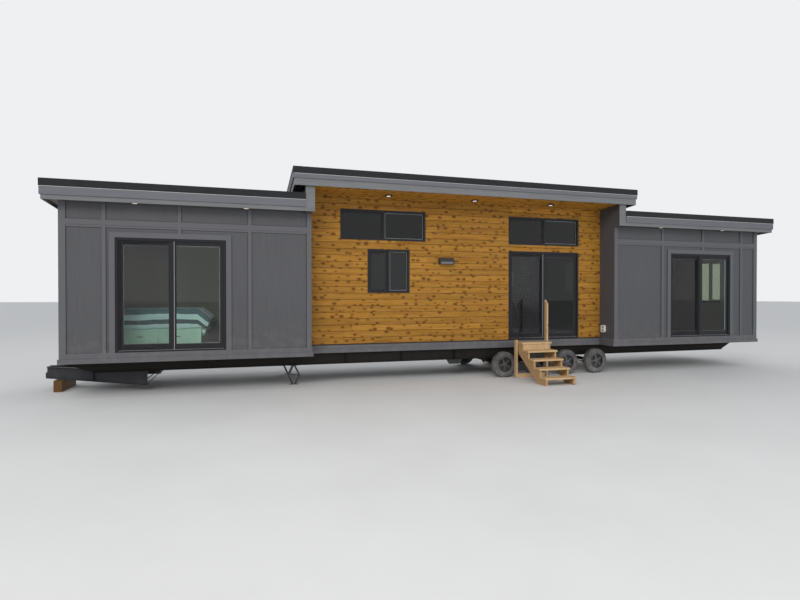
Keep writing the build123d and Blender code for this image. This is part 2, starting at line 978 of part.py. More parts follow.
def build_wheels():
    wheel = wheel_solid()
    for index, x in enumerate(axle_places()):
        near = Pos(x, wheel_setback, wheel_radius) * wheel
        far = Pos(x, house_depth - wheel_setback, wheel_radius) * Rot(0, 0, 180) * wheel
        save(f"near_wheel_{index + 1}", near)
        save(f"far_wheel_{index + 1}", far)


def build_axles():
    inner = wheel_setback + tyre_width + drum_gap
    axles = []
    for x in axle_places():
        axle = rod_y(axle_tube / 2, x, wheel_radius, inner, house_depth - inner)
        for y, side in ((wheel_setback, 1), (house_depth - wheel_setback, -1)):
            spindle_end = y + side * (disc_setback + spindle_past_disc)
            drum = y + side * (tyre_width + drum_gap)
            axle += rod_y(spindle / 2, x, wheel_radius, spindle_end, drum + side * drum_thickness)
            axle += rod_y(drum_radius, x, wheel_radius, drum, drum + side * drum_thickness)
        axles.append(axle)
    save("axles", *axles)


def leaf_arc(span, rise, x, z, y0, y1):
    """One curved leaf, its ends higher than its middle."""
    low = ThreePointArc((x - span / 2, y0, z + rise), (x, y0, z), (x + span / 2, y0, z + rise))
    high = ThreePointArc(
        (x - span / 2, y0, z + rise + leaf), (x, y0, z + leaf), (x + span / 2, y0, z + rise + leaf)
    )
    sides = [Line(low @ 0, high @ 0), Line(low @ 1, high @ 1)]
    face = make_face([low, high, *sides])
    return extrude(face, y1 - y0, dir=(0, 1, 0))


def build_springs():
    springs = []
    hangers = []
    top = wheel_radius - axle_tube / 2
    eye_z = top - leaf + spring_rise + leaf / 2
    eye_reach = spring_span / 2
    for row in rail_rows:
        y0 = row - leaf_width / 2
        y1 = row + leaf_width / 2
        for x in axle_places():
            spring = leaf_arc(spring_span, spring_rise, x, top - leaf, y0, y1)
            for index in range(1, leaf_count):
                share = 1 - index / leaf_count
                span = spring_span * share
                rise_here = spring_rise * share * share
                spring += leaf_arc(span, rise_here, x, top - leaf * (index + 1), y0, y1)
            for side in (-1, 1):
                spring += rod_y(spring_eye, x + side * eye_reach, eye_z, y0, y1)
            springs.append(spring)
        ends = [axle_places()[0] - eye_reach, axle_places()[-1] + eye_reach]
        gap = hanger_thickness + roller_seat
        for x in ends:
            hangers.append(hanger(x, row, eye_z, gap))
        for first, second in zip(axle_places(), axle_places()[1:]):
            hangers.append(equaliser(first + eye_reach, second - eye_reach, row, eye_z, gap))
    save("leaf_springs", *springs)
    save("spring_hangers", *hangers)


def side_plates(outline, row, gap):
    """A pair of plates, one each side of a spring."""
    inner = leaf_width / 2 + gap - hanger_thickness
    outer = leaf_width / 2 + gap
    return [
        along_y(outline, row - outer, row - inner),
        along_y(outline, row + inner, row + outer),
    ]


def hanger(x, row, eye_z, gap):
    """Fork that carries one spring eye under the rail."""
    outline = [
        (x - hanger_width, rail_bottom),
        (x + hanger_width, rail_bottom),
        (x + spring_eye, eye_z - spring_eye),
        (x - spring_eye, eye_z - spring_eye),
    ]
    plates = side_plates(outline, row, gap)
    y0 = row - leaf_width / 2 - gap
    y1 = row + leaf_width / 2 + gap
    cap = block(x - hanger_width, x + hanger_width, y0, y1, rail_bottom - hanger_thickness, rail_bottom)
    return plates[0] + plates[1] + cap


def equaliser(x0, x1, row, eye_z, gap):
    """Fork and rocker that share the load between two springs."""
    middle = (x0 + x1) / 2
    outline = [
        (x0 - spring_eye, eye_z - spring_eye),
        (x1 + spring_eye, eye_z - spring_eye),
        (x1 + spring_eye, eye_z + spring_eye),
        (middle, eye_z + spring_eye + equaliser_height),
        (x0 - spring_eye, eye_z + spring_eye),
    ]
    plates = side_plates(outline, row, gap)
    outer = leaf_width / 2 + gap
    post_block = block(
        middle - hanger_width / 2,
        middle + hanger_width / 2,
        row - outer,
        row + outer,
        eye_z + spring_eye + roller_seat,
        rail_bottom,
    )
    return plates[0] + plates[1] + post_block


# Stair

def build_stair():
    x0 = stair_x
    x1 = stair_x + stair_width
    nose = stair_front
    outline = [(nose + tread_overhang, 0)]
    for index in range(tread_count):
        y = nose + tread_overhang + index * run
        outline.append((y, (index + 1) * rise - tread_thickness))
        if index < tread_count - 1:
            outline.append((y + run, (index + 1) * rise - tread_thickness))
    back = nose + tread_count * run
    top = tread_count * rise - tread_thickness
    outline.append((back, top))
    outline.append((back, top - stringer_depth))
    pitch = rise / run
    foot = back - (top - stringer_depth) / pitch
    outline.append((foot, 0))
    stringer_places = (x0 + tread_overhang, x1 - tread_overhang - stringer_thickness)
    save("stair_stringers", *[along_x(outline, x, x + stringer_thickness) for x in stringer_places])

    inner = tread_overhang + stringer_thickness
    riser_y = nose + tread_overhang + (tread_count - 1) * run
    riser_low = (tread_count - 1) * rise - tread_thickness
    riser_face = riser_y + roller_seat
    riser = block(x0 + inner, x1 - inner, riser_face, riser_y + board, riser_low, top - roller_seat)
    treads = [riser]
    for index in range(tread_count):
        y = nose + index * run
        z = (index + 1) * rise
        treads.append(block(x0, x1, y, y + tread_depth, z - tread_thickness, z))
    save("stair_treads", *treads)

    y0 = post_face_y
    y1 = post_face_y + post_width
    short = block(x0 - post_thickness, x0, y0, y1, 0, short_post_height)
    tall = block(x1, x1 + post_thickness, y0, y1, 0, newel_height)
    mitre = [
        (y0 - over, newel_height - post_width - over),
        (y1 + over, newel_height + over),
        (y0 - over, newel_height + over),
    ]
    tall -= along_x(mitre, x1 - over, x1 + post_thickness + over)
    foot_board = block(x0, x1, y1 - post_thickness, y1, 0, post_width)
    save("stair_posts", short + tall + foot_board)


# Fittings

def build_fittings():
    tilt = degrees(atan(slope))
    places = [(x_recess + x, recess / 2, centre_ceiling) for x in centre_lights]
    wing_light_y = -board - light_trim_gap - light_radius
    places += [(x, wing_light_y, wing_ceiling) for x in wing_lights]
    places += [(x_right - x, wing_light_y, wing_ceiling) for x in wing_lights]
    lights = []
    for x, y, ceiling in places:
        body = Pos(0, 0, -light_depth / 2) * Cylinder(light_radius, light_depth)
        body -= Pos(0, 0, -light_depth) * Cylinder(lens_radius, light_depth)
        seat = ceiling(y) - soffit_thickness - roller_seat
        lights.append(Pos(x, y, seat) * Rot(-tilt, 0, 0) * body)
    save("soffit_lights", *lights)

    x = x_recess + hood_x
    z = floor_top + hood_height_above_floor
    outline = [
        (recess, z),
        (recess, z + hood_height),
        (recess - hood_top_depth, z + hood_height),
        (recess - hood_depth, z + hood_front_height),
        (recess - hood_depth, z),
    ]
    save("wall_hood", along_x(outline, x, x + hood_width))

    z = floor_top + outlet_height_above_floor
    cover = block(
        x_recess_end - outlet_depth,
        x_recess_end,
        outlet_y - outlet_width / 2,
        outlet_y + outlet_width / 2,
        z,
        z + outlet_height,
    )
    save("outlet_cover", fillet(cover.edges().filter_by(Axis.X), outlet_width / 4))


def raised_jack(row):
    """Scissor jack standing between the ground and a rail."""
    middle = rail_bottom / 2
    x0 = jack_x - jack_foot / 2
    x1 = jack_x + jack_foot / 2
    jack = block(x0, x1, row - jack_arm, row + jack_arm, 0, leaf)
    jack += block(x0, x1, row - jack_arm, row + jack_arm, rail_bottom - leaf, rail_bottom)
    for side in (-1, 1):
        knee = jack_x + side * jack_spread / 2
        outline = [
            (jack_x + side * jack_arm, leaf / 2),
            (jack_x, leaf / 2),
            (knee - side * jack_arm, middle),
            (jack_x, rail_bottom - leaf / 2),
            (jack_x + side * jack_arm, rail_bottom - leaf / 2),
            (knee, middle),
        ]
        jack += along_y(outline, row - jack_arm / 2, row + jack_arm / 2)
    return jack + Pos(jack_x, row, middle) * Rot(0, 90, 0) * Cylinder(jack_screw / 2, jack_spread)


def folded_jack(row):
    """Scissor jack folded up flat under a rail."""
    top = rail_bottom
    bottom = top - folded_jack_height
    outline = [
        (folded_jack_x - folded_jack_length / 2, top),
        (folded_jack_x + folded_jack_length / 2, top),
        (folded_jack_x + folded_jack_foot / 2, bottom),
        (folded_jack_x - folded_jack_foot / 2, bottom),
    ]
    return along_y(outline, row - jack_arm, row + jack_arm)


def build_jacks():
    save("stabiliser_jacks", *[jack(row) for row in rail_rows for jack in (raised_jack, folded_jack)])


def build_bed():
    x1 = bed_x + bed_length
    y1 = bed_y + bed_width
    top = floor_top + bed_base_height
    save("bed_base", block(bed_x, x1, bed_y, y1, floor_top, top))
    quilt = block(bed_x, x1 + quilt_overhang, bed_y, y1, top, top + quilt_height)
    quilt = fillet(quilt.edges().group_by(Axis.Z)[-1], quilt_height / 4)
    quilt += block(x1, x1 + quilt_overhang, bed_y, y1, top - quilt_drop, top)
    save("bed_quilt", quilt)


os.makedirs("parts", exist_ok=True)
build_floor()
build_walls()
build_roofs()
build_trim()
build_doors()
build_windows()
build_rails()
build_crossmembers()
build_hitch()
build_wheels()
build_axles()
build_springs()
build_stair()
build_fittings()
build_jacks()
build_bed()
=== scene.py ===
import random
from math import atan, cos, pi, radians, sin, tau

import bmesh
import bpy
from mathutils import Matrix, Vector


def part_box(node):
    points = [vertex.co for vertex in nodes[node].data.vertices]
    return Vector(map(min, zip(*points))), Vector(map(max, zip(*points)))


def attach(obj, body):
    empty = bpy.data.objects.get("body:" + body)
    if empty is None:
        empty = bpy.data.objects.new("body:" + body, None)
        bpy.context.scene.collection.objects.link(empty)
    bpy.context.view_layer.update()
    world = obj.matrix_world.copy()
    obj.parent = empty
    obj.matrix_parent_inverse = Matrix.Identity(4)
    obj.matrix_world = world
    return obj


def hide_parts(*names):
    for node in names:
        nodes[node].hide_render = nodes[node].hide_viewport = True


# Building measures in metres, the same as in the part's source. X runs along the front from the left
# corner, Y goes back from the wings' front, and Z is up from the ground.
LEFT_END = 0.019
RECESS_START = 4.28
RECESS_END = 11.27
HOUSE_END = 15.59
HOUSE_DEPTH = 2.59
RECESS = 0.5
WALL = 0.13
FLOOR = 0.794
BOARD = 0.019
SLOPE = 0.065
WING_HEIGHT = 2.65
CENTRE_HEIGHT = 3.088
FRAMING = 0.159
COVER = 0.125
WING_EAVE = -0.24
CENTRE_EAVE = -0.3
ROOF_START, ROOF_END = -0.2, HOUSE_END + 0.235
CENTRE_START, CENTRE_END = RECESS_START - 0.345, RECESS_END + 0.345
ROOF_BACK = 2.79
FRAME_PROUD = 0.008
DOOR_PLACES = ((0.862, 0.0), (8.81, 0.5), (12.888, 0.0))
DOOR_BODIES = ("left_wing_panel", "centre_panel", "right_wing_panel")
DOOR_WIDTH = 1.85
DOOR_HEIGHT = 2.03
JAMB = 0.045
SILL = 0.03
STILE = 0.06
TOP_RAIL = 0.065
BOTTOM_RAIL = 0.095
PANEL = 0.91
PANEL_THICKNESS = 0.038
OUTER_TRACK = 0.014
INNER_TRACK = 0.06
DOOR_GLASS = 0.02
SLIDE_GAP = 0.005
WINDOW_BAR = 0.042
# Windows as x (y for the end window), sill above the floor, width and height.
UPPER_WINDOW = (4.931, 2.18, 1.866, 0.637)
KITCHEN_WINDOW = (5.51, 1.069, 0.925, 0.924)
TRANSOM = (8.81, 2.18, 1.85, 0.637)
BACK_WINDOW = 3.05
END_WINDOW = (0.92, 0.82, 0.76, 1.15)
AXLES = (8.525, 9.315, 10.105, 10.895)
WHEEL_RADIUS = 0.28
TYRE_WIDTH = 0.18
WHEEL_SETBACK = 0.1
RIM_RADIUS = 0.165
RAIL_ROWS = (0.55, 2.04)
SPRING_EYE_REACH = 0.305
SPRING_EYE_HEIGHT = 0.3
HANGER_FACE = 0.0308
COUPLER_TOP = 0.323
HOOD = (7.1, 1.696)
BED_NEAR_SIDE = 0.72
STEPS = 5
STAIR_FRONT = -1.13
STRINGERS = (8.789, 9.426)
STEP_RUN = 0.225
STEP_RISE = 0.158
WING_LIGHTS = ((1.2, -0.101), (3.07, -0.101), (14.39, -0.101), (12.52, -0.101))
CENTRE_LIGHTS = ((5.9, 0.25), (7.85, 0.25), (9.74, 0.25))
CASING = 0.095
CASING_TOP = FLOOR + DOOR_HEIGHT + CASING
BELT_LOW, BELT_HIGH = CASING_TOP + 0.071, CASING_TOP + 0.206
CORNER_BOARD = 0.09
BATTEN = 0.064
BATTEN_PITCH = 1.222

# Measures of the details that only this script makes. A hair is the gap between a detail and the solid
# behind it.
HAIR = 0.0002
# Width of the painted shadow lines along the front trim's joints.
JOINT_SHADOW = 0.007
EXPOSURE = 0.1325
CEDAR_DEPTH = 0.0118
GROOVE_DEPTH = 0.0105
BOARD_END_GAP = 0.0008
BEAD = 0.008
BEAD_DEPTH = 0.006
STILE_COVER = 0.036
SPACER = 0.007
SCREW_PITCH = 0.3
U_BOLT_REACH = 0.045
QUILT_FOLD = 0.067
QUILT_SWELL = 0.022
FOOT_SLOPE = 0.75

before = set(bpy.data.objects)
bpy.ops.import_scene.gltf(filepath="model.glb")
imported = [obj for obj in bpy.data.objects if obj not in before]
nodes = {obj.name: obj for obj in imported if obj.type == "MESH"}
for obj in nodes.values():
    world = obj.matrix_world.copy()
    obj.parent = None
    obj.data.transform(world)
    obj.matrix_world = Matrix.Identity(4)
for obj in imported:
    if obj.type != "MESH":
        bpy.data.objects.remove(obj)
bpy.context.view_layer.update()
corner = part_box("floor_platform")[0] - Vector((LEFT_END, 0, 0))
chance = random.Random(7)


def spot(x, y, z):
    """Point in the row frame from building measures."""
    return Vector((corner.x + x, corner.y + y, z))


def wing_ceiling(y):
    return FLOOR + WING_HEIGHT - SLOPE * y


def centre_ceiling(y):
    return FLOOR + CENTRE_HEIGHT - SLOPE * (y - RECESS)


def add_object(name, data):
    made = bpy.data.objects.new(name, data)
    bpy.context.scene.collection.objects.link(made)
    return made


# Making meshes

class Shape:
    """Collects simple closed forms, each with a material number and a tone, into one mesh."""

    def __init__(self):
        self.points, self.faces, self.numbers, self.tones = [], [], [], []

    def add(self, points, faces, number=0, tone=0.5):
        base = len(self.points)
        self.points += [tuple(point) for point in points]
        self.faces += [tuple(base + index for index in face) for face in faces]
        self.numbers += [number] * len(faces)
        self.tones += [tone] * len(points)

    def prism(self, outline, along, number=0, tone=0.5):
        """Solid swept from a flat outline along a vector."""
        count = len(outline)
        points = [Vector(point) for point in outline]
        points += [point + Vector(along) for point in points]
        faces = [tuple(range(count)), tuple(reversed(range(count, 2 * count)))]
        for index in range(count):
            after = (index + 1) % count
            faces.append((index, index + count, after + count, after))
        self.add(points, faces, number, tone)

    def box(self, low, high, number=0):
        """Block between two corners in building measures."""
        a, b = spot(*low), spot(*high)
        self.prism([a, (b.x, a.y, a.z), (b.x, b.y, a.z), (a.x, b.y, a.z)], (0, 0, b.z - a.z), number)

    def frame(self, low, high, width, number=0):
        """Rectangular frame in XZ between two corners, with bars of one width."""
        (x0, y0, z0), (x1, y1, z1) = low, high
        a, b = z0 + width, z1 - width
        bars = ((x0, x1, z0, a), (x0, x1, b, z1), (x0, x0 + width, a, b), (x1 - width, x1, a, b))
        for left, right, foot, top in bars:
            self.box((left, y0, foot), (right, y1, top), number)

    def lathe(self, profile, centre=(0, 0, 0), axis=(0, 1, 0), around=48, number=0):
        """Form of revolution from (radius, distance along the axis) points; centre is in the row frame."""
        axis = Vector(axis).normalized()
        side = axis.orthogonal().normalized()
        other = axis.cross(side)
        points, rings = [], []
        for radius, distance in profile:
            middle = Vector(centre) + axis * distance
            steps = around if radius > 1e-6 else 1
            rings.append([len(points) + index % steps for index in range(around)])
            for index in range(steps):
                angle = tau * index / around
                points.append(middle + (side * cos(angle) + other * sin(angle)) * radius)
        faces = []
        for low, high in zip(rings, rings[1:]):
            for index in range(around):
                after = (index + 1) % around
                faces.append(tuple(dict.fromkeys((low[index], low[after], high[after], high[index]))))
        self.add(points, [face for face in faces if len(face) > 2], number)

    def rod(self, start, end, radius, around=12, number=0):
        """Round bar between two points of the row frame."""
        run = Vector(end) - Vector(start)
        self.lathe([(0, 0), (radius, 0), (radius, run.length), (0, run.length)], start, run, around, number)

    def pin(self, x, z, y0, y1, radius, around, number=0):
        """Round bar along Y, such as a screw head, in building measures."""
        self.rod(spot(x, y0, z), spot(x, y1, z), radius, around, number)

    def mesh(self, name, materials, smooth=35):
        """The collected forms as a mesh, smooth up to an angle in degrees."""
        mesh = bpy.data.meshes.new(name)
        mesh.from_pydata(self.points, [], self.faces)
        for material in materials:
            mesh.materials.append(material)
        mesh.polygons.foreach_set("material_index", self.numbers)
        mesh.attributes.new("tone", "FLOAT", "POINT").data.foreach_set("value", self.tones)
        form = bmesh.new()
        form.from_mesh(mesh)
        bmesh.ops.recalc_face_normals(form, faces=form.faces)
        for face in form.faces:
            face.smooth = True
        for edge in form.edges:
            edge.smooth = len(edge.link_faces) == 2 and edge.calc_face_angle(0) < radians(smooth)
        form.to_mesh(mesh)
        form.free()
        return mesh

    def make(self, name, materials, body="house"):
        """The finished piece, riding on a body."""
        piece = add_object(name, self.mesh(name, materials))
        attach(piece, body)
        return piece


# Shader nodes

class Wire:
    """Output of a node, which sums can be written with."""

    def __init__(self, graph, socket):
        self.graph, self.socket = graph, socket

    def __add__(self, other):
        return self.graph.sum("ADD", self, other)

    def __sub__(self, other):
        return self.graph.sum("SUBTRACT", self, other)

    def __mul__(self, other):
        return self.graph.sum("MULTIPLY", self, other)


class Graph:
    """Adds and joins the nodes of one tree; last is the node that takes the results."""

    def __init__(self, tree, last):
        self.tree, self.last = tree, last

    def put(self, socket, value):
        if isinstance(value, Wire):
            self.tree.links.new(value.socket, socket)
        else:
            socket.default_value = value[:3] if socket.type == "VECTOR" else value

    def fill(self, node, values):
        """Sets or joins inputs by name, with _ for a space."""
        for name, value in values.items():
            self.put(node.inputs[name.replace("_", " ")], value)
        return node

    def end(self, **values):
        self.fill(self.last, values)
        return self.tree

    def add(self, kind, settings=None, **inputs):
        node = self.tree.nodes.new("ShaderNode" + kind)
        for name, value in (settings or {}).items():
            setattr(node, name, value)
        return self.fill(node, inputs)

    def wire(self, node, output=0):
        return Wire(self, node.outputs[output])

    def sum(self, operation, *values, kind="Math", output=0):
        """One Math or Vector Math node."""
        node = self.add(kind, {"operation": operation})
        for socket, value in zip(node.inputs, values):
            self.put(socket, value)
        return self.wire(node, output)

    def vector(self, operation, *values, output=0):
        return self.sum(operation, *values, kind="VectorMath", output=output)

    def scaled(self, vector, amount):
        return self.wire(self.add("VectorMath", {"operation": "SCALE"}, Vector=vector, Scale=amount))

    def mix(self, amount, first, second):
        node = self.add("Mix", {"data_type": "RGBA"})
        for index, value in ((0, amount), (6, first), (7, second)):
            self.put(node.inputs[index], value)
        return self.wire(node, 2)

    def noise(self, place, scale, detail, rough):
        return self.wire(self.add("TexNoise", Vector=place, Scale=scale, Detail=detail, Roughness=rough))

    def span(self, value, low, high, start=0.0, end=1.0):
        """Value moved from one range to another and held inside it."""
        ends = {"From_Min": low, "From_Max": high, "To_Min": start, "To_Max": end}
        return self.wire(self.add("MapRange", Value=value, **ends))

    def place(self):
        """Coordinates of the piece: those of the row frame, or for a wheel those about its hub."""
        return self.wire(self.add("TexCoord"), "Object")

    def split(self, vector):
        return [Wire(self, output) for output in self.add("SeparateXYZ", Vector=vector).outputs]

    def relief(self, height, strength, depth):
        """Bump of a depth in metres."""
        return self.wire(self.add("Bump", Height=height, Strength=strength, Distance=depth))

    def use(self, effect, **inputs):
        """Outputs of a shared effect, by name."""
        node = self.tree.nodes.new("ShaderNodeGroup")
        node.node_tree = effect
        return {output.name: Wire(self, output) for output in self.fill(node, inputs).outputs}

    def by_ray(self, rays, usual, other, output):
        """Gives some kinds of ray another shader than the usual one."""
        path = self.add("LightPath").outputs
        chosen = Wire(self, path[rays[0]])
        for ray in rays[1:]:
            chosen = self.sum("MAXIMUM", chosen, Wire(self, path[ray]))
        both = self.add("MixShader", Fac=chosen)
        self.put(both.inputs[1], self.wire(usual))
        self.put(both.inputs[2], self.wire(other))
        self.put(self.tree.nodes[output].inputs["Surface"], self.wire(both))


def color(red, green, blue):
    return (red, green, blue, 1.0)


def effect(name, inputs, outputs=("Color", "Roughness", "Height")):
    """Graph of an empty shared effect, and its inputs by name."""
    tree = bpy.data.node_groups.new(name, "ShaderNodeTree")
    kinds = {1: "NodeSocketFloat", 3: "NodeSocketVector", 4: "NodeSocketColor"}
    for label, value in inputs.items():
        size = len(value) if isinstance(value, tuple) else 1
        tree.interface.new_socket(label, in_out="INPUT", socket_type=kinds[size]).default_value = value
    for label in outputs:
        tree.interface.new_socket(label, in_out="OUTPUT", socket_type=kinds[4 if label == "Color" else 1])
    graph = Graph(tree, tree.nodes.new("NodeGroupOutput"))
    start = tree.nodes.new("NodeGroupInput")
    return graph, {socket.name: Wire(graph, socket) for socket in start.outputs}


def paint_effect():
    """Paint on wood: drawn-out grain, soft patches and dust near the ground."""
    inputs = {"Paint": color(0.1, 0.1, 0.1), "Stretch": (50.0, 50.0, 2.0), "Grain": 0.2, "Patches": 0.15}
    graph, source = effect("painted_wood", inputs)
    place = graph.place()
    grain = graph.noise(graph.vector("MULTIPLY", place, source["Stretch"]), 1.0, 6.0, 0.62)
    patches = graph.noise(place, 0.8, 3.0, 0.5)
    amount = (grain - 0.5) * source["Grain"] * 2.0 + (patches - 0.5) * source["Patches"] + 1.0
    low = graph.span(graph.split(place)[2], 1.35, 0.7)
    dust = low * graph.span(graph.noise(place, 6.0, 5.0, 0.7), 0.45, 0.75, 0.0, 0.35)
    return graph.end(
        Color=graph.mix(dust, graph.scaled(source["Paint"], amount), color(0.2, 0.18, 0.155)),
        Roughness=graph.span(grain, 0.3, 0.7, 0.5, 0.68),
        Height=grain,
    )


def wood_effect():
    """Bare wood: grain lines drawn out along the board, bending round scattered knots."""
    inputs = {
        "Pale": color(0.6, 0.3, 0.08), "Middle": color(0.5, 0.22, 0.05), "Dark": color(0.3, 0.11, 0.02),
        "Knot": color(0.12, 0.05, 0.009), "Stretch": (1.2, 16.0, 16.0), "Knot Stretch": (3.2, 0.01, 7.6),
        "Knots": 0.5, "Tone": 0.5,
    }
    graph, source = effect("bare_wood", inputs)
    tone = source["Tone"]
    place = graph.vector("ADD", graph.place(), graph.scaled((31.0, 17.0, 7.0), tone))
    along, across, up = graph.split(graph.vector("MULTIPLY", place, source["Knot Stretch"]))
    flat = graph.wire(graph.add("CombineXYZ", X=across * 0.37 + along, Y=across + up))
    cells = graph.add("TexVoronoi", {"voronoi_dimensions": "2D"}, Vector=flat, Scale=1.0)
    picks = graph.split(graph.wire(cells, "Color"))
    chosen = graph.sum("LESS_THAN", picks[0], source["Knots"])
    past = graph.wire(cells, "Distance") - (picks[1] * 0.14 + 0.085)
    core = chosen * graph.span(past, 0.085, -0.07)
    halo = chosen * graph.span(past, 0.16, 0.0)
    drawn = graph.vector("MULTIPLY", place, source["Stretch"])
    bent = graph.vector("ADD", drawn, graph.scaled((0.25, 1.1, 1.1), halo))
    lines = graph.noise(graph.scaled(bent, 4.0), 1.0, 3.0, 0.6)
    both = (lines - 0.5) * 0.35 + graph.noise(bent, 1.0, 7.0, 0.62)
    dark_side = graph.mix(graph.span(both, 0.28, 0.5), source["Dark"], source["Middle"])
    full = graph.mix(graph.span(both, 0.5, 0.72), dark_side, source["Pale"])
    haloed = graph.mix(halo * 0.35, graph.scaled(full, tone * 0.24 + 0.88), source["Dark"])
    return graph.end(
        Color=graph.mix(core, haloed, source["Knot"]),
        Roughness=graph.span(both, 0.3, 0.75, 0.45, 0.66),
        Height=both - core * 0.4,
    )


def board_effect():
    """Rows of boards across one direction: a tone for each board, and the gap between them."""
    graph, source = effect("board_rows", {"Across": (0.0, 1.0, 0.0), "Pitch": 0.13}, ("Tone", "Gap"))
    reach = graph.vector("DOT_PRODUCT", graph.place(), source["Across"], output="Value")
    rows = graph.sum("DIVIDE", reach, source["Pitch"])
    number = graph.sum("FLOOR", rows)
    tone = graph.wire(graph.add("TexWhiteNoise", {"noise_dimensions": "1D"}, W=number), "Value")
    part = graph.sum("ABSOLUTE", rows - number - 0.5)
    return graph.end(Tone=tone, Gap=graph.span(part, 0.475, 0.492))


def grime_effect():
    """Road dust on dark metal or rubber, thickest low down and in patches."""
    colors = {"Clean": color(0.02, 0.02, 0.022), "Dust": color(0.16, 0.14, 0.12)}
    graph, source = effect("road_grime", {**colors, "Amount": 0.5, "Shine": 0.35})
    place = graph.place()
    spots = graph.noise(place, 9.0, 6.0, 0.7)
    low = graph.span(graph.split(place)[2], 0.9, 0.0, 0.35, 1.0)
    dusty = graph.span(spots + graph.noise(place, 1.7, 3.0, 0.5), 0.8, 1.3) * source["Amount"] * low
    return graph.end(
        Color=graph.mix(dusty, source["Clean"], source["Dust"]),
        Roughness=dusty * 0.5 + source["Shine"],
        Height=spots,
    )


def cloth_effect():
    """Quilted cloth: a fine weave, sewn channels, and bands that follow the slope past the fold."""
    graph, source = effect("quilted_cloth", {"Pitch": 0.11, "Fold": 0.0})
    place = graph.place()
    x, y, z = graph.split(place)
    weave = graph.noise(graph.scaled(place, 260.0), 1.0, 2.0, 0.5)
    puffs = []
    for run in (x, y - z):
        wave = graph.sum("SINE", graph.sum("DIVIDE", run, source["Pitch"]) * pi)
        puffs.append(graph.sum("ABSOLUTE", wave))
    bands = graph.add("ValToRGB")
    ramp = bands.color_ramp
    ramp.interpolation = "CONSTANT"
    teal, pale, slate = color(0.065, 0.15, 0.155), color(0.5, 0.74, 0.7), color(0.07, 0.115, 0.12)
    starts = (0.0, 0.05, 0.2, 0.34, 0.54, 0.695, 0.826)
    for at, tint in zip(starts, (pale, slate, pale, teal, pale, slate, pale)):
        stop = ramp.elements.new(at) if at else ramp.elements[0]
        stop.color = tint
    ramp.elements.remove(ramp.elements[-1])
    past = graph.sum("MAXIMUM", x - source["Fold"], 0.0)
    wavy = (graph.noise(place, 3.0, 2.0, 0.5) - 0.5) * 0.05 + (y - (past * FOOT_SLOPE + z))
    graph.fill(bands, {"Fac": graph.sum("FRACT", wavy * 1.55)})
    return graph.end(
        Color=graph.scaled(graph.wire(bands), graph.span(weave, 0.2, 0.8, 0.8, 1.15)),
        Roughness=graph.span(weave, 0.0, 1.0, 0.8, 0.95),
        Height=weave * 0.06 + graph.sum("POWER", puffs[0] * puffs[1], 0.5),
    )


PAINT = paint_effect()
WOOD = wood_effect()
BOARDS = board_effect()
GRIME = grime_effect()
CLOTH = cloth_effect()


def material(name, **numbers):
    """New material and its graph; numbers are the shader's own values."""
    made = bpy.data.materials.new(name)
    made.use_nodes = True
    graph = Graph(made.node_tree, made.node_tree.nodes["Principled BSDF"])
    graph.end(**numbers)
    return made, graph


def finish_material(made, graph, outputs, bump, tint=None):
    """Joins an effect's outputs to the shader, with bump of a depth in metres."""
    relief = graph.relief(outputs["Height"], 0.8, bump)
    graph.end(Base_Color=tint or outputs["Color"], Roughness=outputs["Roughness"], Normal=relief)
    return made


def painted(name, paint, stretch, grain, patches, bump=0.0012):
    made, graph = material(name, Specular_IOR_Level=0.35)
    outputs = graph.use(PAINT, Paint=color(*paint), Stretch=stretch, Grain=grain, Patches=patches)
    return finish_material(made, graph, outputs, bump)


def cedar(name, knot_stretch, light, pitch=None, ends=None):
    """Knotty cedar; pitch is that of boards that are drawn and not modelled.

    Past its ends, two places along X, it is near-black painted shade.
    """
    made, graph = material(name, Specular_IOR_Level=0.2)
    if pitch:
        drawn = graph.use(BOARDS, Across=(0.0, 1.0, 0.0), Pitch=pitch)
        tone = drawn["Tone"]
    else:
        tone = graph.wire(graph.add("Attribute", {"attribute_name": "tone"}), "Fac")
    outputs = graph.use(
        WOOD,
        Pale=color(0.37 * light, 0.185 * light, 0.034 * light),
        Middle=color(0.305 * light, 0.146 * light, 0.023 * light),
        Dark=color(0.225 * light, 0.095 * light, 0.013 * light),
        Stretch=(1.1, 15.0, 15.0),
        Knot_Stretch=knot_stretch,
        Knots=0.85,
        Tone=tone,
    )
    tint = graph.mix(drawn["Gap"], outputs["Color"], color(0.06, 0.025, 0.006)) if pitch else None
    # Past the ends the cedar turns near-black as painted shade.
    if ends:
        along = graph.split(graph.place())[0]
        past = graph.sum("LESS_THAN", along, ends[0]) + graph.sum("GREATER_THAN", along, ends[1])
        tint = graph.mix(past, tint, color(0.02, 0.02, 0.022))
    return finish_material(made, graph, outputs, 0.0015, tint)


def timber(name, axis, red=1.0, green=1.0, blue=1.0):
    """Sawn softwood with its grain along an axis (0 to 2); the last three numbers scale its colours."""
    made, graph = material(name, Specular_IOR_Level=0.3)
    outputs = graph.use(
        WOOD,
        Pale=color(0.58 * red, 0.42 * green, 0.24 * blue),
        Middle=color(0.48 * red, 0.325 * green, 0.17 * blue),
        Dark=color(0.35 * red, 0.215 * green, 0.1 * blue),
        Knot=color(0.12, 0.055, 0.02),
        Stretch=tuple(1.3 if index == axis else 22.0 for index in range(3)),
        Knot_Stretch=tuple(2.2 if index == axis else 6.0 for index in range(3)),
        Knots=0.3,
        Tone=graph.noise(graph.place(), 1.4, 1.0, 0.5),
    )
    return finish_material(made, graph, outputs, 0.0012)


def grimy(name, clean, dust, amount, shine, bump=0.0006, **numbers):
    made, graph = material(name, **numbers)
    outputs = graph.use(GRIME, Clean=color(*clean), Dust=color(*dust), Amount=amount, Shine=shine)
    return finish_material(made, graph, outputs, bump)


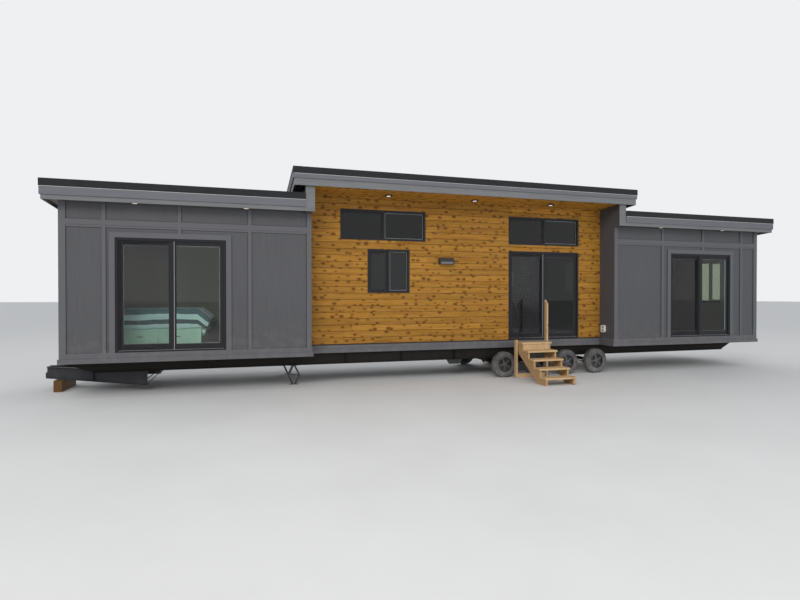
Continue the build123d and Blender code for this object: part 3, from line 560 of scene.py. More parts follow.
def plain(name, tint, rough, speckle, scale, bump=0.0003, **numbers):
    """Moulded or rolled surface: a tint with faint mottling and fine relief."""
    made, graph = material(name, **numbers)
    mottle = graph.noise(graph.place(), scale, 5.0, 0.6)
    graph.end(
        Base_Color=graph.scaled(color(*tint), graph.span(mottle, 0.3, 0.7, 1 - speckle, 1 + speckle)),
        Roughness=graph.span(mottle, 0.3, 0.7, rough * 0.85, rough * 1.15),
        Normal=graph.relief(mottle, 0.5, bump),
    )
    return made


def glass(name, tint):
    """Clear or tinted glass that lets lamps and soft light through."""
    made, graph = material(name, IOR=1.45, Transmission_Weight=1.0, Specular_IOR_Level=0.12)
    smear = graph.noise(graph.place(), 2.5, 3.0, 0.5)
    graph.end(Base_Color=color(*tint), Roughness=graph.span(smear, 0.4, 0.7, 0.0, 0.03))
    clear = graph.add("BsdfTransparent", Color=color(*(value ** 0.5 for value in tint)))
    graph.by_ray(("Is Shadow Ray", "Is Diffuse Ray"), graph.last, clear, "Material Output")
    return made


def glowing(name, tint, strength):
    """Lit lens."""
    made, graph = material(name, Roughness=0.4, Emission_Strength=strength)
    haze = graph.noise(graph.place(), 40.0, 3.0, 0.5)
    glow = graph.scaled(color(*tint), graph.span(haze, 0.3, 0.7, 0.85, 1.0))
    graph.end(Emission_Color=glow, Base_Color=glow)
    return made


def screen_cloth():
    """Insect screen: dark threads that half hide what is behind."""
    made, graph = material("screen_cloth", Roughness=0.9, Specular_IOR_Level=0.05)
    dust = graph.noise(graph.place(), 3.0, 2.0, 0.5)
    tint = graph.scaled(color(0.05, 0.048, 0.055), graph.span(dust, 0.2, 0.8, 0.8, 1.2))
    graph.end(Base_Color=tint, Alpha=graph.span(dust, 0.3, 0.7, 0.1, 0.14))
    return made


def quilt_cloth():
    made, graph = material("quilt_cloth", Sheen_Weight=0.25)
    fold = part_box("bed_base")[1].x - QUILT_FOLD
    return finish_material(made, graph, graph.use(CLOTH, Pitch=0.11, Fold=fold), 0.006)


panel_paint = painted("panel_paint", (0.077, 0.0775, 0.0835), (46.0, 46.0, 1.6), 0.24, 0.2, 0.002)
trim_paint = painted("trim_paint", (0.1, 0.1, 0.108), (2.0, 30.0, 30.0), 0.12, 0.12)
# Near-black paint for the strips that are painted shadow along the front trim's joints.
joint_shadow_paint = painted("joint_shadow_paint", (0.022, 0.022, 0.025), (30.0, 30.0, 2.0), 0.2, 0.2)
fascia_paint = painted("fascia_paint", (0.143, 0.147, 0.153), (1.6, 34.0, 34.0), 0.34, 0.2)
strip_paint = painted("strip_paint", (0.12, 0.123, 0.136), (1.6, 34.0, 34.0), 0.16, 0.14)
soffit_paint = painted("soffit_paint", (0.16, 0.125, 0.106), (1.6, 30.0, 30.0), 0.2, 0.2)
bed_paint = painted("bed_paint", (0.42, 0.7, 0.56), (2.0, 30.0, 30.0), 0.06, 0.06, 0.0004)
wall_cedar = cedar("wall_cedar", (5.0, 0.01, 7.6), 1.0)
# A copy of the wall cedar at 0.72 of its brightness: painted shade for the faces inside the boards' grooves.
shaded_groove_cedar = cedar("shaded_groove_cedar", (5.0, 0.01, 7.6), 0.72)
# Past these ends the centre soffit is near-black, painted shade under the centre roof's overhang.
soffit_shade_ends = (corner.x + RECESS_START - WALL, corner.x + RECESS_END + WALL)
# The soffit's cedar is 1.6 times as bright as the wall's: painted light on a soffit that lies in shade.
soffit_cedar_lit_and_shaded = cedar("soffit_cedar_lit_and_shaded", (5.0, 7.6, 0.01), 1.6, 0.13, soffit_shade_ends)
plank_floor = cedar("plank_floor", (3.4, 7.6, 0.01), 0.5, 0.18)
membrane = plain("roof_membrane", (0.035, 0.037, 0.04), 0.6, 0.22, 3.0, 0.004)
edge_metal = plain("edge_metal", (0.016, 0.0165, 0.019), 0.55, 0.15, 5.0, 0.0008, Specular_IOR_Level=0.25)
drip_metal = plain("drip_metal", (0.55, 0.55, 0.54), 0.35, 0.1, 12.0, Metallic=0.6)
screw_metal = plain("screw_metal", (0.5, 0.5, 0.49), 0.4, 0.2, 90.0, Metallic=0.7)
dark_screw = plain("dark_screw", (0.07, 0.07, 0.072), 0.5, 0.2, 90.0, Metallic=0.5)
spacer_metal = plain("spacer_metal", (0.3, 0.32, 0.32), 0.5, 0.08, 30.0, Metallic=0.4)
alloy = plain("alloy", (0.5, 0.51, 0.52), 0.33, 0.08, 30.0, Metallic=0.8)
black_frame = plain("black_frame", (0.013, 0.013, 0.016), 0.42, 0.12, 14.0, Specular_IOR_Level=0.3)
bead_rubber = plain("bead_rubber", (0.02, 0.02, 0.02), 0.7, 0.2, 60.0)
edge_seal = plain("edge_seal", (0.45, 0.8, 0.8), 0.5, 0.05, 30.0)
wallboard = plain("wallboard", (0.25, 0.25, 0.185), 0.8, 0.04, 9.0)
underfloor = plain("underfloor", (0.02, 0.02, 0.02), 0.75, 0.25, 6.0, 0.002)
light_trim = plain("light_trim", (0.03, 0.03, 0.032), 0.4, 0.12, 40.0)
hood_paint = plain("hood_paint", (0.13, 0.125, 0.13), 0.5, 0.1, 40.0)
white_plastic = plain("white_plastic", (0.75, 0.75, 0.72), 0.35, 0.03, 30.0)
door_glass = glass("door_glass", (0.83, 0.86, 0.84))
# The centre and right doors' glass and the front window glass are tinted dark as painted shade of the rooms
# behind them.
centre_shaded_glass = glass("centre_shaded_glass", (0.13, 0.137, 0.13))
right_shaded_glass = glass("right_shaded_glass", (0.4, 0.41, 0.38))
window_glass = glass("window_glass", (0.05, 0.054, 0.053))
back_glass = glass("back_glass", (0.05, 0.055, 0.055))
end_glass = glass("end_glass", (0.5, 0.58, 0.42))
mesh_screen = screen_cloth()
chassis_steel = grimy(
    "chassis_steel", (0.011, 0.01, 0.009), (0.07, 0.06, 0.05), 0.2, 0.55, Specular_IOR_Level=0.15)
hitch_steel = grimy(
    "hitch_steel", (0.03, 0.031, 0.038), (0.1, 0.09, 0.08), 0.35, 0.55, Specular_IOR_Level=0.2)
spring_steel = grimy("spring_steel", (0.03, 0.024, 0.02), (0.14, 0.1, 0.07), 0.7, 0.5)
tyre_rubber = grimy("tyre_rubber", (0.05, 0.05, 0.05), (0.19, 0.185, 0.178), 0.9, 0.7, 0.0012)
rim_black = grimy("rim_black", (0.012, 0.012, 0.013), (0.12, 0.11, 0.1), 0.35, 0.3)
rim_silver = grimy("rim_silver", (0.16, 0.165, 0.17), (0.16, 0.15, 0.14), 0.5, 0.35, Metallic=0.8)
tread_timber = timber("tread_timber", 0)
side_timber = timber("side_timber", 1, 0.84, 0.78, 0.7)
post_timber = timber("post_timber", 2)
# Support timbers: old wood whose colours are darkened further as painted shade.
shaded_old_timber = timber("shaded_old_timber", 1, 0.23, 0.165, 0.09)
warm_lens = glowing("warm_lens", (1.0, 0.88, 0.7), 0.6)
pale_lens = glowing("pale_lens", (1.0, 0.95, 0.85), 0.55)
quilt = quilt_cloth()

# Dressing the CAD nodes

FINISHES = (
    (panel_paint, "left_wing_front_wall right_wing_front_wall wing_door_headers left_end_wall right_end_wall "
                  "back_wall return_walls clerestory_walls roof_cheeks"),
    (trim_paint, "base_trim wing_front_trim back_trim end_trim"),
    (fascia_paint, "wing_fascias centre_fascia"),
    (soffit_paint, "wing_soffits"),
    (soffit_cedar_lit_and_shaded, "centre_soffit"),
    (wallboard, "roof_framing"),
    (edge_metal, "wing_roof_coverings centre_roof_covering"),
    (black_frame, "patio_door_frames fixed_door_panels window_frames left_wing_sliding_panel "
                  "centre_sliding_panel right_wing_sliding_panel"),
    (door_glass, "fixed_door_glass left_wing_sliding_glass"),
    (centre_shaded_glass, "centre_sliding_glass"),
    (right_shaded_glass, "right_wing_sliding_glass"),
    (window_glass, "window_glass"),
    (underfloor, "floor_platform"),
    (chassis_steel, "chassis_rails crossmembers outriggers axles spring_hangers"),
    (rim_black, "stabiliser_jacks"),
    (hitch_steel, "hitch_beams hitch_coupler"),
    (spring_steel, "leaf_springs"),
    (shaded_old_timber, "support_timbers"),
    (side_timber, "stair_stringers"),
    (tread_timber, "stair_treads"),
    (post_timber, "stair_posts"),
    (light_trim, "soffit_lights wall_hood"),
    (white_plastic, "outlet_cover"),
    (bed_paint, "bed_base"),
)


def dress_part(names, made, test):
    """Another material on the faces of some nodes that pass a test."""
    for name in names.split():
        mesh = nodes[name].data
        mesh.materials.append(made)
        for face in mesh.polygons:
            if test(face):
                face.material_index = len(mesh.materials) - 1


def outermost(face, low, high):
    """Whether a face lies on a side of a box and looks out of it, along X or Y."""
    for side, edge in ((-1, low), (1, high)):
        for axis in (0, 1):
            if side * (face.center[axis] - edge[axis]) > -0.002 and side * face.normal[axis] > 0.5:
                return True
    return False


def dress_nodes():
    """Finish of every node that keeps its own shape."""
    for made, names in FINISHES:
        for name in names.split():
            mesh = nodes[name].data
            mesh.materials.clear()
            mesh.materials.append(made)

    start, end = spot(RECESS_START, 0, 0).x, spot(RECESS_END, 0, 0).x
    middle = (start + end) / 2
    right, back, _ = spot(HOUSE_END - 0.2, HOUSE_DEPTH - 0.2, 0)
    # Painted shade: the fixed glass of the centre and right doors takes the darker tints.
    dress_part("fixed_door_glass", centre_shaded_glass, lambda face: start < face.center.x < end)
    dress_part("fixed_door_glass", right_shaded_glass, lambda face: face.center.x > end)
    dress_part("window_glass", back_glass, lambda face: face.center.y > back)
    dress_part("window_glass", end_glass, lambda face: face.center.x > right)
    fronts = "left_wing_front_wall right_wing_front_wall wing_door_headers"
    dress_part(fronts, wallboard, lambda face: face.normal.y > 0.5)
    dress_part("back_wall", wallboard, lambda face: face.normal.y < -0.5)
    dress_part("left_end_wall", wallboard, lambda face: face.normal.x > 0.5)
    dress_part("right_end_wall", wallboard, lambda face: face.normal.x < -0.5)
    dress_part("return_walls", wallboard, lambda face: face.normal.x * (face.center.x - middle) > 0.05)
    dress_part("clerestory_walls", wallboard, lambda face: face.normal.x * (face.center.x - middle) < -0.05)
    dress_part("floor_platform", plank_floor, lambda face: face.normal.z > 0.5)
    dress_part("wing_roof_coverings centre_roof_covering", membrane, lambda face: face.normal.z > 0.5)
    # The proud upper strip of a fascia has its outermost faces, and a tone of its own.
    for name in ("wing_fascias", "centre_fascia"):
        low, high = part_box(name)
        dress_part(name, strip_paint, lambda face: outermost(face, low, high))


# Cedar cladding, and painted shadow lines along the joints of the front trim

def cut_by(piece, openings):
    """Parts of a rectangle (x0, x1, z0, z1) that no opening covers."""
    parts = [piece]
    for left, right, low, high in openings:
        kept = []
        for x0, x1, z0, z1 in parts:
            if x1 <= left or x0 >= right or z1 <= low or z0 >= high:
                kept.append((x0, x1, z0, z1))
                continue
            a, b = max(x0, left), min(x1, right)
            around = ((x0, left, z0, z1), (right, x1, z0, z1), (a, b, z0, low), (a, b, high, z1))
            kept += [part for part in around if part[0] < part[1] and part[2] < part[3]]
        parts = kept
    return parts


def opening(place):
    """(x0, x1, z0, z1) of a window."""
    x, sill, width, height = place
    return (x, x + width, FLOOR + sill, FLOOR + sill + height)


def board_outline(x, low, high, z0, z1):
    """Outline in YZ of a cedar board between two heights, of which the part from z0 to z1 is wanted."""
    groove, bevel = 0.002, 0.0055
    edge = [(low, GROOVE_DEPTH), (low + groove, GROOVE_DEPTH), (low + bevel, 0.0)]
    edge += [(high - bevel, 0.0), (high - groove, GROOVE_DEPTH), (high, GROOVE_DEPTH)]
    front = []
    for (a, first), (b, second) in zip(edge, edge[1:]):
        if b <= z0 or a >= z1 or b - a < 1e-9:
            continue
        for z in (max(a, z0), min(b, z1)):
            point = spot(x, RECESS + first + (second - first) * (z - a) / (b - a), z)
            if not front or (front[-1] - point).length > 1e-6:
                front.append(point)
    return front + [spot(x, RECESS + CEDAR_DEPTH, z) for z in (min(z1, high), max(z0, low))]


def cedar_boards():
    """Horizontal boards over the centre's front wall, with staggered ends."""
    shape = Shape()
    top = centre_ceiling(RECESS)
    door_x = DOOR_PLACES[1][0]
    openings = [opening(UPPER_WINDOW), opening(KITCHEN_WINDOW), opening(TRANSOM)]
    openings.append((door_x, door_x + DOOR_WIDTH, FLOOR, FLOOR + DOOR_HEIGHT))
    low = FLOOR
    while low < top - 0.001:
        high = low + EXPOSURE
        x = RECESS_START
        while x < RECESS_END - 0.001:
            length = chance.uniform(1.6, 3.7) if x > RECESS_START else chance.uniform(0.6, 3.0)
            end = min(x + length, RECESS_END)
            if RECESS_END - end < 0.5:
                end = RECESS_END
            tone = chance.random()
            board = (x + BOARD_END_GAP, end - BOARD_END_GAP, low, min(high, top))
            for x0, x1, z0, z1 in cut_by(board, openings):
                shape.prism(board_outline(x0, low, high, z0, z1), (x1 - x0, 0, 0), tone=tone)
            x = end
        low = high
    boards = shape.make("cedar_boards", [wall_cedar, shaded_groove_cedar])
    front = spot(0, RECESS, 0).y
    # Faces set back in the grooves take the darker cedar as painted shade.
    for face in boards.data.polygons:
        if face.normal.y < -0.05 and face.center.y > front + 0.001:
            face.material_index = 1
    return boards


def wall_core(name, *sources):
    """Copy of cedar walls with their front face moved back behind the boards, standing for them."""
    form = bmesh.new()
    for source in sources:
        form.from_mesh(nodes[source].data)
    front = spot(0, RECESS, 0).y
    for vert in form.verts:
        if abs(vert.co.y - front) < 0.0005:
            vert.co.y += CEDAR_DEPTH
    mesh = bpy.data.meshes.new(name)
    form.to_mesh(mesh)
    form.free()
    mesh.materials.clear()
    mesh.materials.append(underfloor)
    mesh.materials.append(wallboard)
    for face in mesh.polygons:
        face.material_index = 1 if face.normal.y > 0.5 else 0
    piece = add_object(name, mesh)
    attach(piece, "house")
    return piece


def make_cladding():
    boards = cedar_boards()
    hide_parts("centre_front_wall", "centre_door_header")
    core = wall_core("cedar_wall_core", "centre_front_wall", "centre_door_header")
    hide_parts("centre_front_wall", "centre_door_header")


def wing_joint_shadows(shape, start, end, batten, door_x):
    """Painted shadow lines along the edges of one wing's front trim, where its boards meet the panels."""
    def joint(x, side, z0, z1, proud):
        x0, x1 = sorted((x, x + side * JOINT_SHADOW))
        shape.box((x0, -proud, z0), (x1, -HAIR, z1))

    casing = (door_x - CASING, door_x + DOOR_WIDTH + CASING)
    uprights = [(start + CORNER_BOARD, 1), (end - CORNER_BOARD, -1)]
    for index in range(3):
        x = batten + index * BATTEN_PITCH
        uprights += [(x - BATTEN / 2, -1), (x + BATTEN / 2, 1)]
    for x, side in uprights:
        low = CASING_TOP if casing[0] < x < casing[1] else FLOOR
        joint(x, side, low + 0.0005, BELT_LOW - 0.0005, 0.0012)
        joint(x, side, BELT_HIGH + 0.0005, wing_ceiling(0) - 0.013, 0.0012)
    edges = sorted(x for x, side in uprights)
    for x0, x1 in zip(edges[::2], edges[1::2]):
        for low in (BELT_LOW - JOINT_SHADOW, BELT_HIGH):
            shape.box((x0 + 0.0005, -0.0013, low), (x1 - 0.0005, -HAIR, low + JOINT_SHADOW))
    for x, side in zip(casing, (-1, 1)):
        joint(x, side, FLOOR + 0.0005, CASING_TOP, 0.0014)


def make_trim_joint_shadows():
    shape = Shape()
    wing_joint_shadows(shape, LEFT_END, RECESS_START, 0.69, DOOR_PLACES[0][0])
    wing_joint_shadows(shape, RECESS_END, HOUSE_END, RECESS_END + 1.377, DOOR_PLACES[2][0])
    shape.make("trim_joint_shadows", [joint_shadow_paint])


# Doors and windows

DOOR_TRIM = [bead_rubber, spacer_metal, dark_screw, black_frame]


def panel_details(shape, left, face, width, z0, z1, meeting):
    """Glazing beads (material 0), spacer bars (1), corner screws (2) and covers (3) of one door panel.

    The covers lie beside the glass along the meeting stile, at the end that meeting gives: -1 left, 1 right.
    """
    x0, x1 = left + STILE, left + width - STILE
    low, high = z0 + BOTTOM_RAIL, z1 - TOP_RAIL
    front = face + (PANEL_THICKNESS - DOOR_GLASS) / 2
    back = front + DOOR_GLASS
    shape.frame((x0, front - BEAD_DEPTH, low), (x1, front - HAIR, high), BEAD)
    shape.frame((x0, back + HAIR, low), (x1, back + BEAD_DEPTH, high), BEAD)
    cover0, cover1 = (x0, x0 + STILE_COVER) if meeting < 0 else (x1 - STILE_COVER, x1)
    shape.box((cover0, face + 0.0005, low), (cover1, front - BEAD_DEPTH - HAIR, high), 3)
    shape.box((cover0, back + BEAD_DEPTH + HAIR, low), (cover1, face + PANEL_THICKNESS - 0.0005, high), 3)
    shape.frame((x0 + BEAD, front + 0.004, low + BEAD), (x1 - BEAD, back - 0.004, high - BEAD), SPACER, 1)
    for x in (left + STILE / 2, left + width - STILE / 2):
        for z in (z0 + 0.035, z1 - 0.03):
            shape.pin(x, z, face - 0.0018, face + 0.001, 0.0075, 10, 2)


def make_doors():
    """Fine parts of the three patio doors."""
    z0, z1 = FLOOR + SILL, FLOOR + DOOR_HEIGHT - JAMB
    for body, (x, y) in zip(DOOR_BODIES, DOOR_PLACES):
        label = body.replace("_panel", "")
        right_wing = body == "right_wing_panel"
        inner, inner_end = x + JAMB, x + DOOR_WIDTH - JAMB
        fixed_x, fixed_y = inner_end - PANEL, y + OUTER_TRACK
        moving = Shape()
        heights = (z0 + SLIDE_GAP, z1 - SLIDE_GAP)
        panel_details(moving, inner + SLIDE_GAP, y + INNER_TRACK, PANEL - SLIDE_GAP, *heights, 1)
        moving.make(f"{label}_sliding_trim", DOOR_TRIM, body)
        fixed = Shape()
        panel_details(fixed, fixed_x, fixed_y, PANEL, z0, z1, -1)
        strip = fixed_x + (0.062 if body == "left_wing_panel" else 0.001)
        fixed.box((strip - 0.003, fixed_y - 0.0035, z0 + 0.002), (strip + 0.004, fixed_y - HAIR, z1 - 0.002),
                  3 if right_wing else 4)
        if right_wing:
            edge, back = fixed_x + PANEL - STILE - 0.012, fixed_y + 0.014
            low, high = z0 + BOTTOM_RAIL + 0.02, z1 - TOP_RAIL - 0.02
            fixed.box((edge - 0.016, back - 0.002, low), (edge, back, high), 5)
        front = y - FRAME_PROUD
        fixed.box((inner, front, z0 + HAIR), (inner_end, y + 0.011, z0 + 0.003), 4)
        fixed.box((x + 0.02, front - 0.002, FLOOR + 0.006), (x + DOOR_WIDTH - 0.02, front, z0 - 0.006), 3)
        fixed.make(f"{label}_door_trim", DOOR_TRIM + [alloy, edge_seal])
        make_screen(label, inner + 0.001, fixed_x - 0.001, y + 0.02, z0 + 0.003, z1 - 0.001)


def make_screen(label, x0, x1, y, z0, z1):
    """Insect screen in the empty outer track."""
    shape = Shape()
    shape.frame((x0, y, z0), (x1, y + 0.011, z1), 0.024)
    shape.box((x0 + 0.02, y + 0.005, z0 + 0.02), (x1 - 0.02, y + 0.006, z1 - 0.02), 1)
    shape.make(f"{label}_screen", [black_frame, mesh_screen])


def turned_frame(shape, turn, low, high, width, number):
    """Frame in a window's own measures, set into the building by its turn."""
    part = Shape()
    part.frame(low, high, width)
    points = [turn @ Vector((x - corner.x, y - corner.y, z)) for x, y, z in part.points]
    shape.add(points, part.faces, number)


def window_details(shape, width, height, turn):
    """Sash, beads and spacers of one window; turn places its own x, depth and z in the building."""
    z0, z1 = WINDOW_BAR, height - WINDOW_BAR
    sash = (WINDOW_BAR, (width - WINDOW_BAR) / 2)
    turned_frame(shape, turn, (sash[0], 0.018, z0), (sash[1], 0.036, z1), 0.02, 0)
    # Each half as its ends, the beads' width, and the depths, width and material of the spacer inside them.
    for (x0, x1), inset, y0, y1, spacer, number in (
        (sash, 0.03, 0.043, 0.055, 0.008, 2),
        (((width + WINDOW_BAR) / 2, width - WINDOW_BAR), BEAD, 0.0388, 0.0398, SPACER, 3),
    ):
        turned_frame(shape, turn, (x0, 0.036, z0), (x1, 0.0398, z1), inset, 1)
        turned_frame(shape, turn, (x0 + inset, y0, z0 + inset), (x1 - inset, y1, z1 - inset), spacer, number)


def make_windows():
    shape = Shape()
    for x, sill, width, height in (UPPER_WINDOW, KITCHEN_WINDOW, TRANSOM):
        window_details(shape, width, height, Matrix.Translation(spot(x, RECESS - FRAME_PROUD, FLOOR + sill)))
    y, sill, width, height = END_WINDOW
    place = Matrix.Translation(spot(HOUSE_END + FRAME_PROUD, y, FLOOR + sill))
    window_details(shape, width, height, place @ Matrix.Rotation(pi / 2, 4, "Z"))
    _, sill, width, height = KITCHEN_WINDOW
    for x in (BACK_WINDOW, HOUSE_END - BACK_WINDOW - width):
        place = Matrix.Translation(spot(x + width, HOUSE_DEPTH + FRAME_PROUD, FLOOR + sill))
        window_details(shape, width, height, place @ Matrix.Rotation(pi, 4, "Z"))
    shape.make("window_trim", [black_frame, bead_rubber, light_trim, spacer_metal])


# Roof details

def make_roof_details():
    """Drip edges under the coverings, their screws, and the membrane's lapped seams."""
    shape = Shape()
    for ceiling, eave, x0, x1, first in (
        (wing_ceiling, WING_EAVE, ROOF_START, RECESS_START - WALL, 0.12),
        (wing_ceiling, WING_EAVE, RECESS_END + WALL, ROOF_END, 0.12),
        (centre_ceiling, CENTRE_EAVE, CENTRE_START, CENTRE_END, 0.145),
    ):
        low = ceiling(eave) + FRAMING
        shape.box((x0, eave - 0.0235, low - 0.008), (x1, eave - BOARD - HAIR, low - 0.0005))
        for index in range(int((x1 - x0) / SCREW_PITCH)):
            x = x0 + first + index * SCREW_PITCH
            shape.pin(x, low + COVER * 0.45, eave - 0.028, eave - 0.024, 0.006, 8, 1)
    for x, side in ((CENTRE_START, -1), (CENTRE_END, 1)):
        outline = []
        for y, drop in ((CENTRE_EAVE, 0.012), (ROOF_BACK, 0.012), (ROOF_BACK, 0.0005), (CENTRE_EAVE, 0.0005)):
            outline.append(spot(x + side * (0.001 + BOARD + HAIR), y, centre_ceiling(y) + FRAMING - drop))
        shape.prism(outline, (side * 0.0045, 0, 0))
    shape.make("roof_edge_details", [drip_metal, dark_screw])

    seams = Shape()
    for ceiling, x0, x1, front in (
        (wing_ceiling, -0.05, RECESS_START - WALL, -0.1),
        (centre_ceiling, RECESS_START - 0.3, RECESS_END + 0.3, -0.15),
        (wing_ceiling, RECESS_END + WALL, HOUSE_END + 0.1, -0.1),
    ):
        count = max(1, round((x1 - x0) / 2.1))
        for index in range(1, count):
            x = x0 + (x1 - x0) * index / count
            outline = [spot(x, y, ceiling(y) + FRAMING + COVER + lift) for y, lift in
                       ((front, -0.004), (2.7, -0.004), (2.7, 0.002), (front, 0.002))]
            seams.prism(outline, (0.08, 0, 0))
    seams.make("roof_seams", [membrane])


def make_lenses():
    """Lit lenses and bezels of the soffit lights."""
    down = Matrix.Rotation(-atan(SLOPE), 3, "X") @ Vector((0, 0, -1))
    lens = [(0, 0.0245), (0.02, 0.0242), (0.036, 0.023), (0.045, 0.021), (0.048, 0.0185), (0, 0.0185)]
    bezel = [(0.0485, 0.0185), (0.0485, 0.0225), (0.0545, 0.0242), (0.0612, 0.0225), (0.0612, 0.0185)]
    for label, places, ceiling, made in (
        ("wing_lenses", WING_LIGHTS, wing_ceiling, warm_lens),
        ("centre_lenses", CENTRE_LIGHTS, centre_ceiling, pale_lens),
    ):
        shape = Shape()
        for x, y in places:
            seat = spot(x, y, ceiling(y) - 0.0123)
            shape.lathe(lens, seat, down, 40, 0)
            shape.lathe(bezel + bezel[:1], seat, down, 40, 1)
        shape.make(label, [made, light_trim])


# Running gear and hitch

def tyre_profile():
    """Section of a tyre as (radius, depth) points, with bead, ribs, shoulder and tread grooves."""
    half = [
        (RIM_RADIUS - 0.004, 0.03), (RIM_RADIUS + 0.002, 0.014), (RIM_RADIUS + 0.012, 0.0085),
        (RIM_RADIUS + 0.02, 0.0095), (RIM_RADIUS + 0.024, 0.0045), (0.2, 0.003), (0.212, 0.0008),
        (0.2138, 0.003), (0.218, 0.003), (0.2198, 0.0006), (0.2291, 0.0012), (0.2365, 0.004), (0.2385, 0.008),
        (0.245, 0.008), (0.2475, 0.0055), (0.2562, 0.0105), (0.266, 0.0175), (0.2735, 0.026), (0.2775, 0.037),
        (0.279, 0.045), (0.2715, 0.0465), (0.2715, 0.0515), (0.2795, 0.053), (0.28, 0.067), (0.2725, 0.0685),
        (0.2725, 0.0735), (0.28, 0.075),
    ]
    return half + [(radius, TYRE_WIDTH - depth) for radius, depth in reversed(half)]


def star_arm(shape, angle, face):
    """One arm of the wheel's star: wide at the hub, waisted, and forked at the rim."""
    side = [(0.036, 0.024), (0.075, 0.0125), (0.115, 0.013), (0.147, 0.027), (0.151, 0.014)]
    outline = [(along, -across) for along, across in side] + [(0.13, 0.0)] + side[::-1]
    turned = []
    for along, across in outline:
        x = along * sin(angle) + across * cos(angle)
        z = along * cos(angle) - across * sin(angle)
        turned.append(Vector((x, face + (0.148 - along) * -0.05, z)))
    shape.prism(turned, (0, 0.014, 0), 2)


def wheel_mesh(spread):
    """Wheel about the origin, its outer face towards -Y, its star turned: tyre 0, black rim 1, silver 2."""
    shape = Shape()
    shape.lathe(tyre_profile(), around=96)
    lip = [(RIM_RADIUS - 0.003, 0.03), (RIM_RADIUS + 0.004, 0.016), (RIM_RADIUS + 0.003, 0.011),
           (RIM_RADIUS - 0.004, 0.0115), (RIM_RADIUS - 0.009, 0.022)]
    shape.lathe(lip, around=72, number=2)
    barrel = [lip[-1], (RIM_RADIUS - 0.012, 0.03), (RIM_RADIUS - 0.015, 0.07), (RIM_RADIUS - 0.01, 0.165),
              (RIM_RADIUS - 0.002, 0.166), (RIM_RADIUS - 0.004, 0.15)]
    shape.lathe(barrel, around=72, number=1)
    shape.lathe([(0, 0.052), (0.15, 0.052), (0.151, 0.062), (0, 0.062)], number=1)
    for index in range(5):
        star_arm(shape, spread + tau * index / 5, 0.034)
    hub = [(0, 0.02), (0.016, 0.021), (0.024, 0.026), (0.026, 0.034), (0.044, 0.037), (0.05, 0.044),
           (0.05, 0.056), (0, 0.056)]
    shape.lathe(hub, around=40, number=2)
    nut = [(0, 0), (0.006, 0.0005), (0.009, 0.003), (0.009, 0.02), (0, 0.02)]
    for index in range(5):
        angle = spread + tau * (index + 0.5) / 5
        shape.lathe(nut, (0.038 * sin(angle), 0.024, 0.038 * cos(angle)), around=6, number=2)
    for index in range(44):
        angle = tau * index / 44
        out = Vector((sin(angle), 0, cos(angle)))
        across = Vector((cos(angle), 0, -sin(angle)))
        for depth, side in ((0.0155, 1), (TYRE_WIDTH - 0.0155, -1)):
            base = out * 0.26 + Vector((0, depth, 0))
            tip = out * 0.277 + Vector((0, depth + side * 0.018, 0))
            lug = [base - across * 0.009, base + across * 0.009, tip + across * 0.011, tip - across * 0.011]
            shape.prism(lug, (0, -side * 0.0035, 0))
    return shape.mesh("wheel_pattern", [tyre_rubber, rim_black, rim_silver], 40)


def make_wheels():
    for index, x in enumerate(AXLES):
        mesh = wheel_mesh(tau * (0.13 + 0.21 * index))
        for label, y, turn in (("near", WHEEL_SETBACK, 0), ("far", HOUSE_DEPTH - WHEEL_SETBACK, pi)):
            name = f"{label}_wheel_{index + 1}"
            piece = add_object(f"{name}_tyre_and_rim", mesh)
            piece.matrix_world = Matrix.Translation(spot(x, y, WHEEL_RADIUS)) @ Matrix.Rotation(turn, 4, "Z")
            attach(piece, name)
            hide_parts(name)


def make_spring_bolts():
    """U-bolts and plates that clamp the axles to their springs."""
    shape = Shape()
    low = WHEEL_RADIUS - 0.081
    for row in RAIL_ROWS:
        for x in AXLES:
            shape.box((x - 0.055, row - 0.04, low), (x + 0.055, row + 0.04, low + 0.0105))
            for y in (row - 0.03, row + 0.03):
                path = [spot(x - U_BOLT_REACH, y, low - 0.019)]
                for step in range(9):
                    angle = pi * step / 8
                    run, rise = U_BOLT_REACH * cos(angle), U_BOLT_REACH * sin(angle)
                    path.append(spot(x - run, y, WHEEL_RADIUS + rise))
                path.append(spot(x + U_BOLT_REACH, y, low - 0.019))
                for first, second in zip(path, path[1:]):
                    shape.rod(first, second, 0.0055, 8, 1)
                for end in (x - U_BOLT_REACH, x + U_BOLT_REACH):
                    shape.rod(spot(end, y, low - 0.011), spot(end, y, low - 0.0005), 0.0105, 6, 1)
    shape.make("spring_bolts", [chassis_steel, screw_metal])


def make_hanger_bolts():
    """Bolt heads on the spring eyes."""
    shape = Shape()
    for row in RAIL_ROWS:
        for x in AXLES:
            for end in (x - SPRING_EYE_REACH, x + SPRING_EYE_REACH):
                for side in (-1, 1):
                    face = row + side * HANGER_FACE
                    shape.pin(end, SPRING_EYE_HEIGHT, face - side * 0.002, face + side * 0.009, 0.012, 6)
    shape.make("eye_bolts", [screw_metal])


def make_hitch_details():
    """Latch of the coupler, with its raised lever."""
    shape = Shape()
    middle = HOUSE_DEPTH / 2
    shape.box((-0.57, middle - 0.02, COUPLER_TOP + HAIR), (-0.5, middle + 0.02, COUPLER_TOP + 0.022))
    lever = [spot(x, middle - 0.008, COUPLER_TOP + z) for x, z in
             ((-0.56, 0.02), (-0.42, 0.05), (-0.415, 0.06), (-0.56, 0.032))]
    shape.prism(lever, (0, 0.016, 0))
    shape.make("hitch_latch", [hitch_steel])


# Stair, fittings and bed

def make_stair_screws():
    shape = Shape()
    for index in range(STEPS):
        y = STAIR_FRONT + index * STEP_RUN
        z = STEP_RISE * (index + 1)
        for x in STRINGERS:
            for depth in (0.07, 0.2):
                shape.rod(spot(x, y + depth, z - 0.002), spot(x, y + depth, z + 0.0006), 0.005, 8)
    shape.make("stair_screws", [screw_metal])


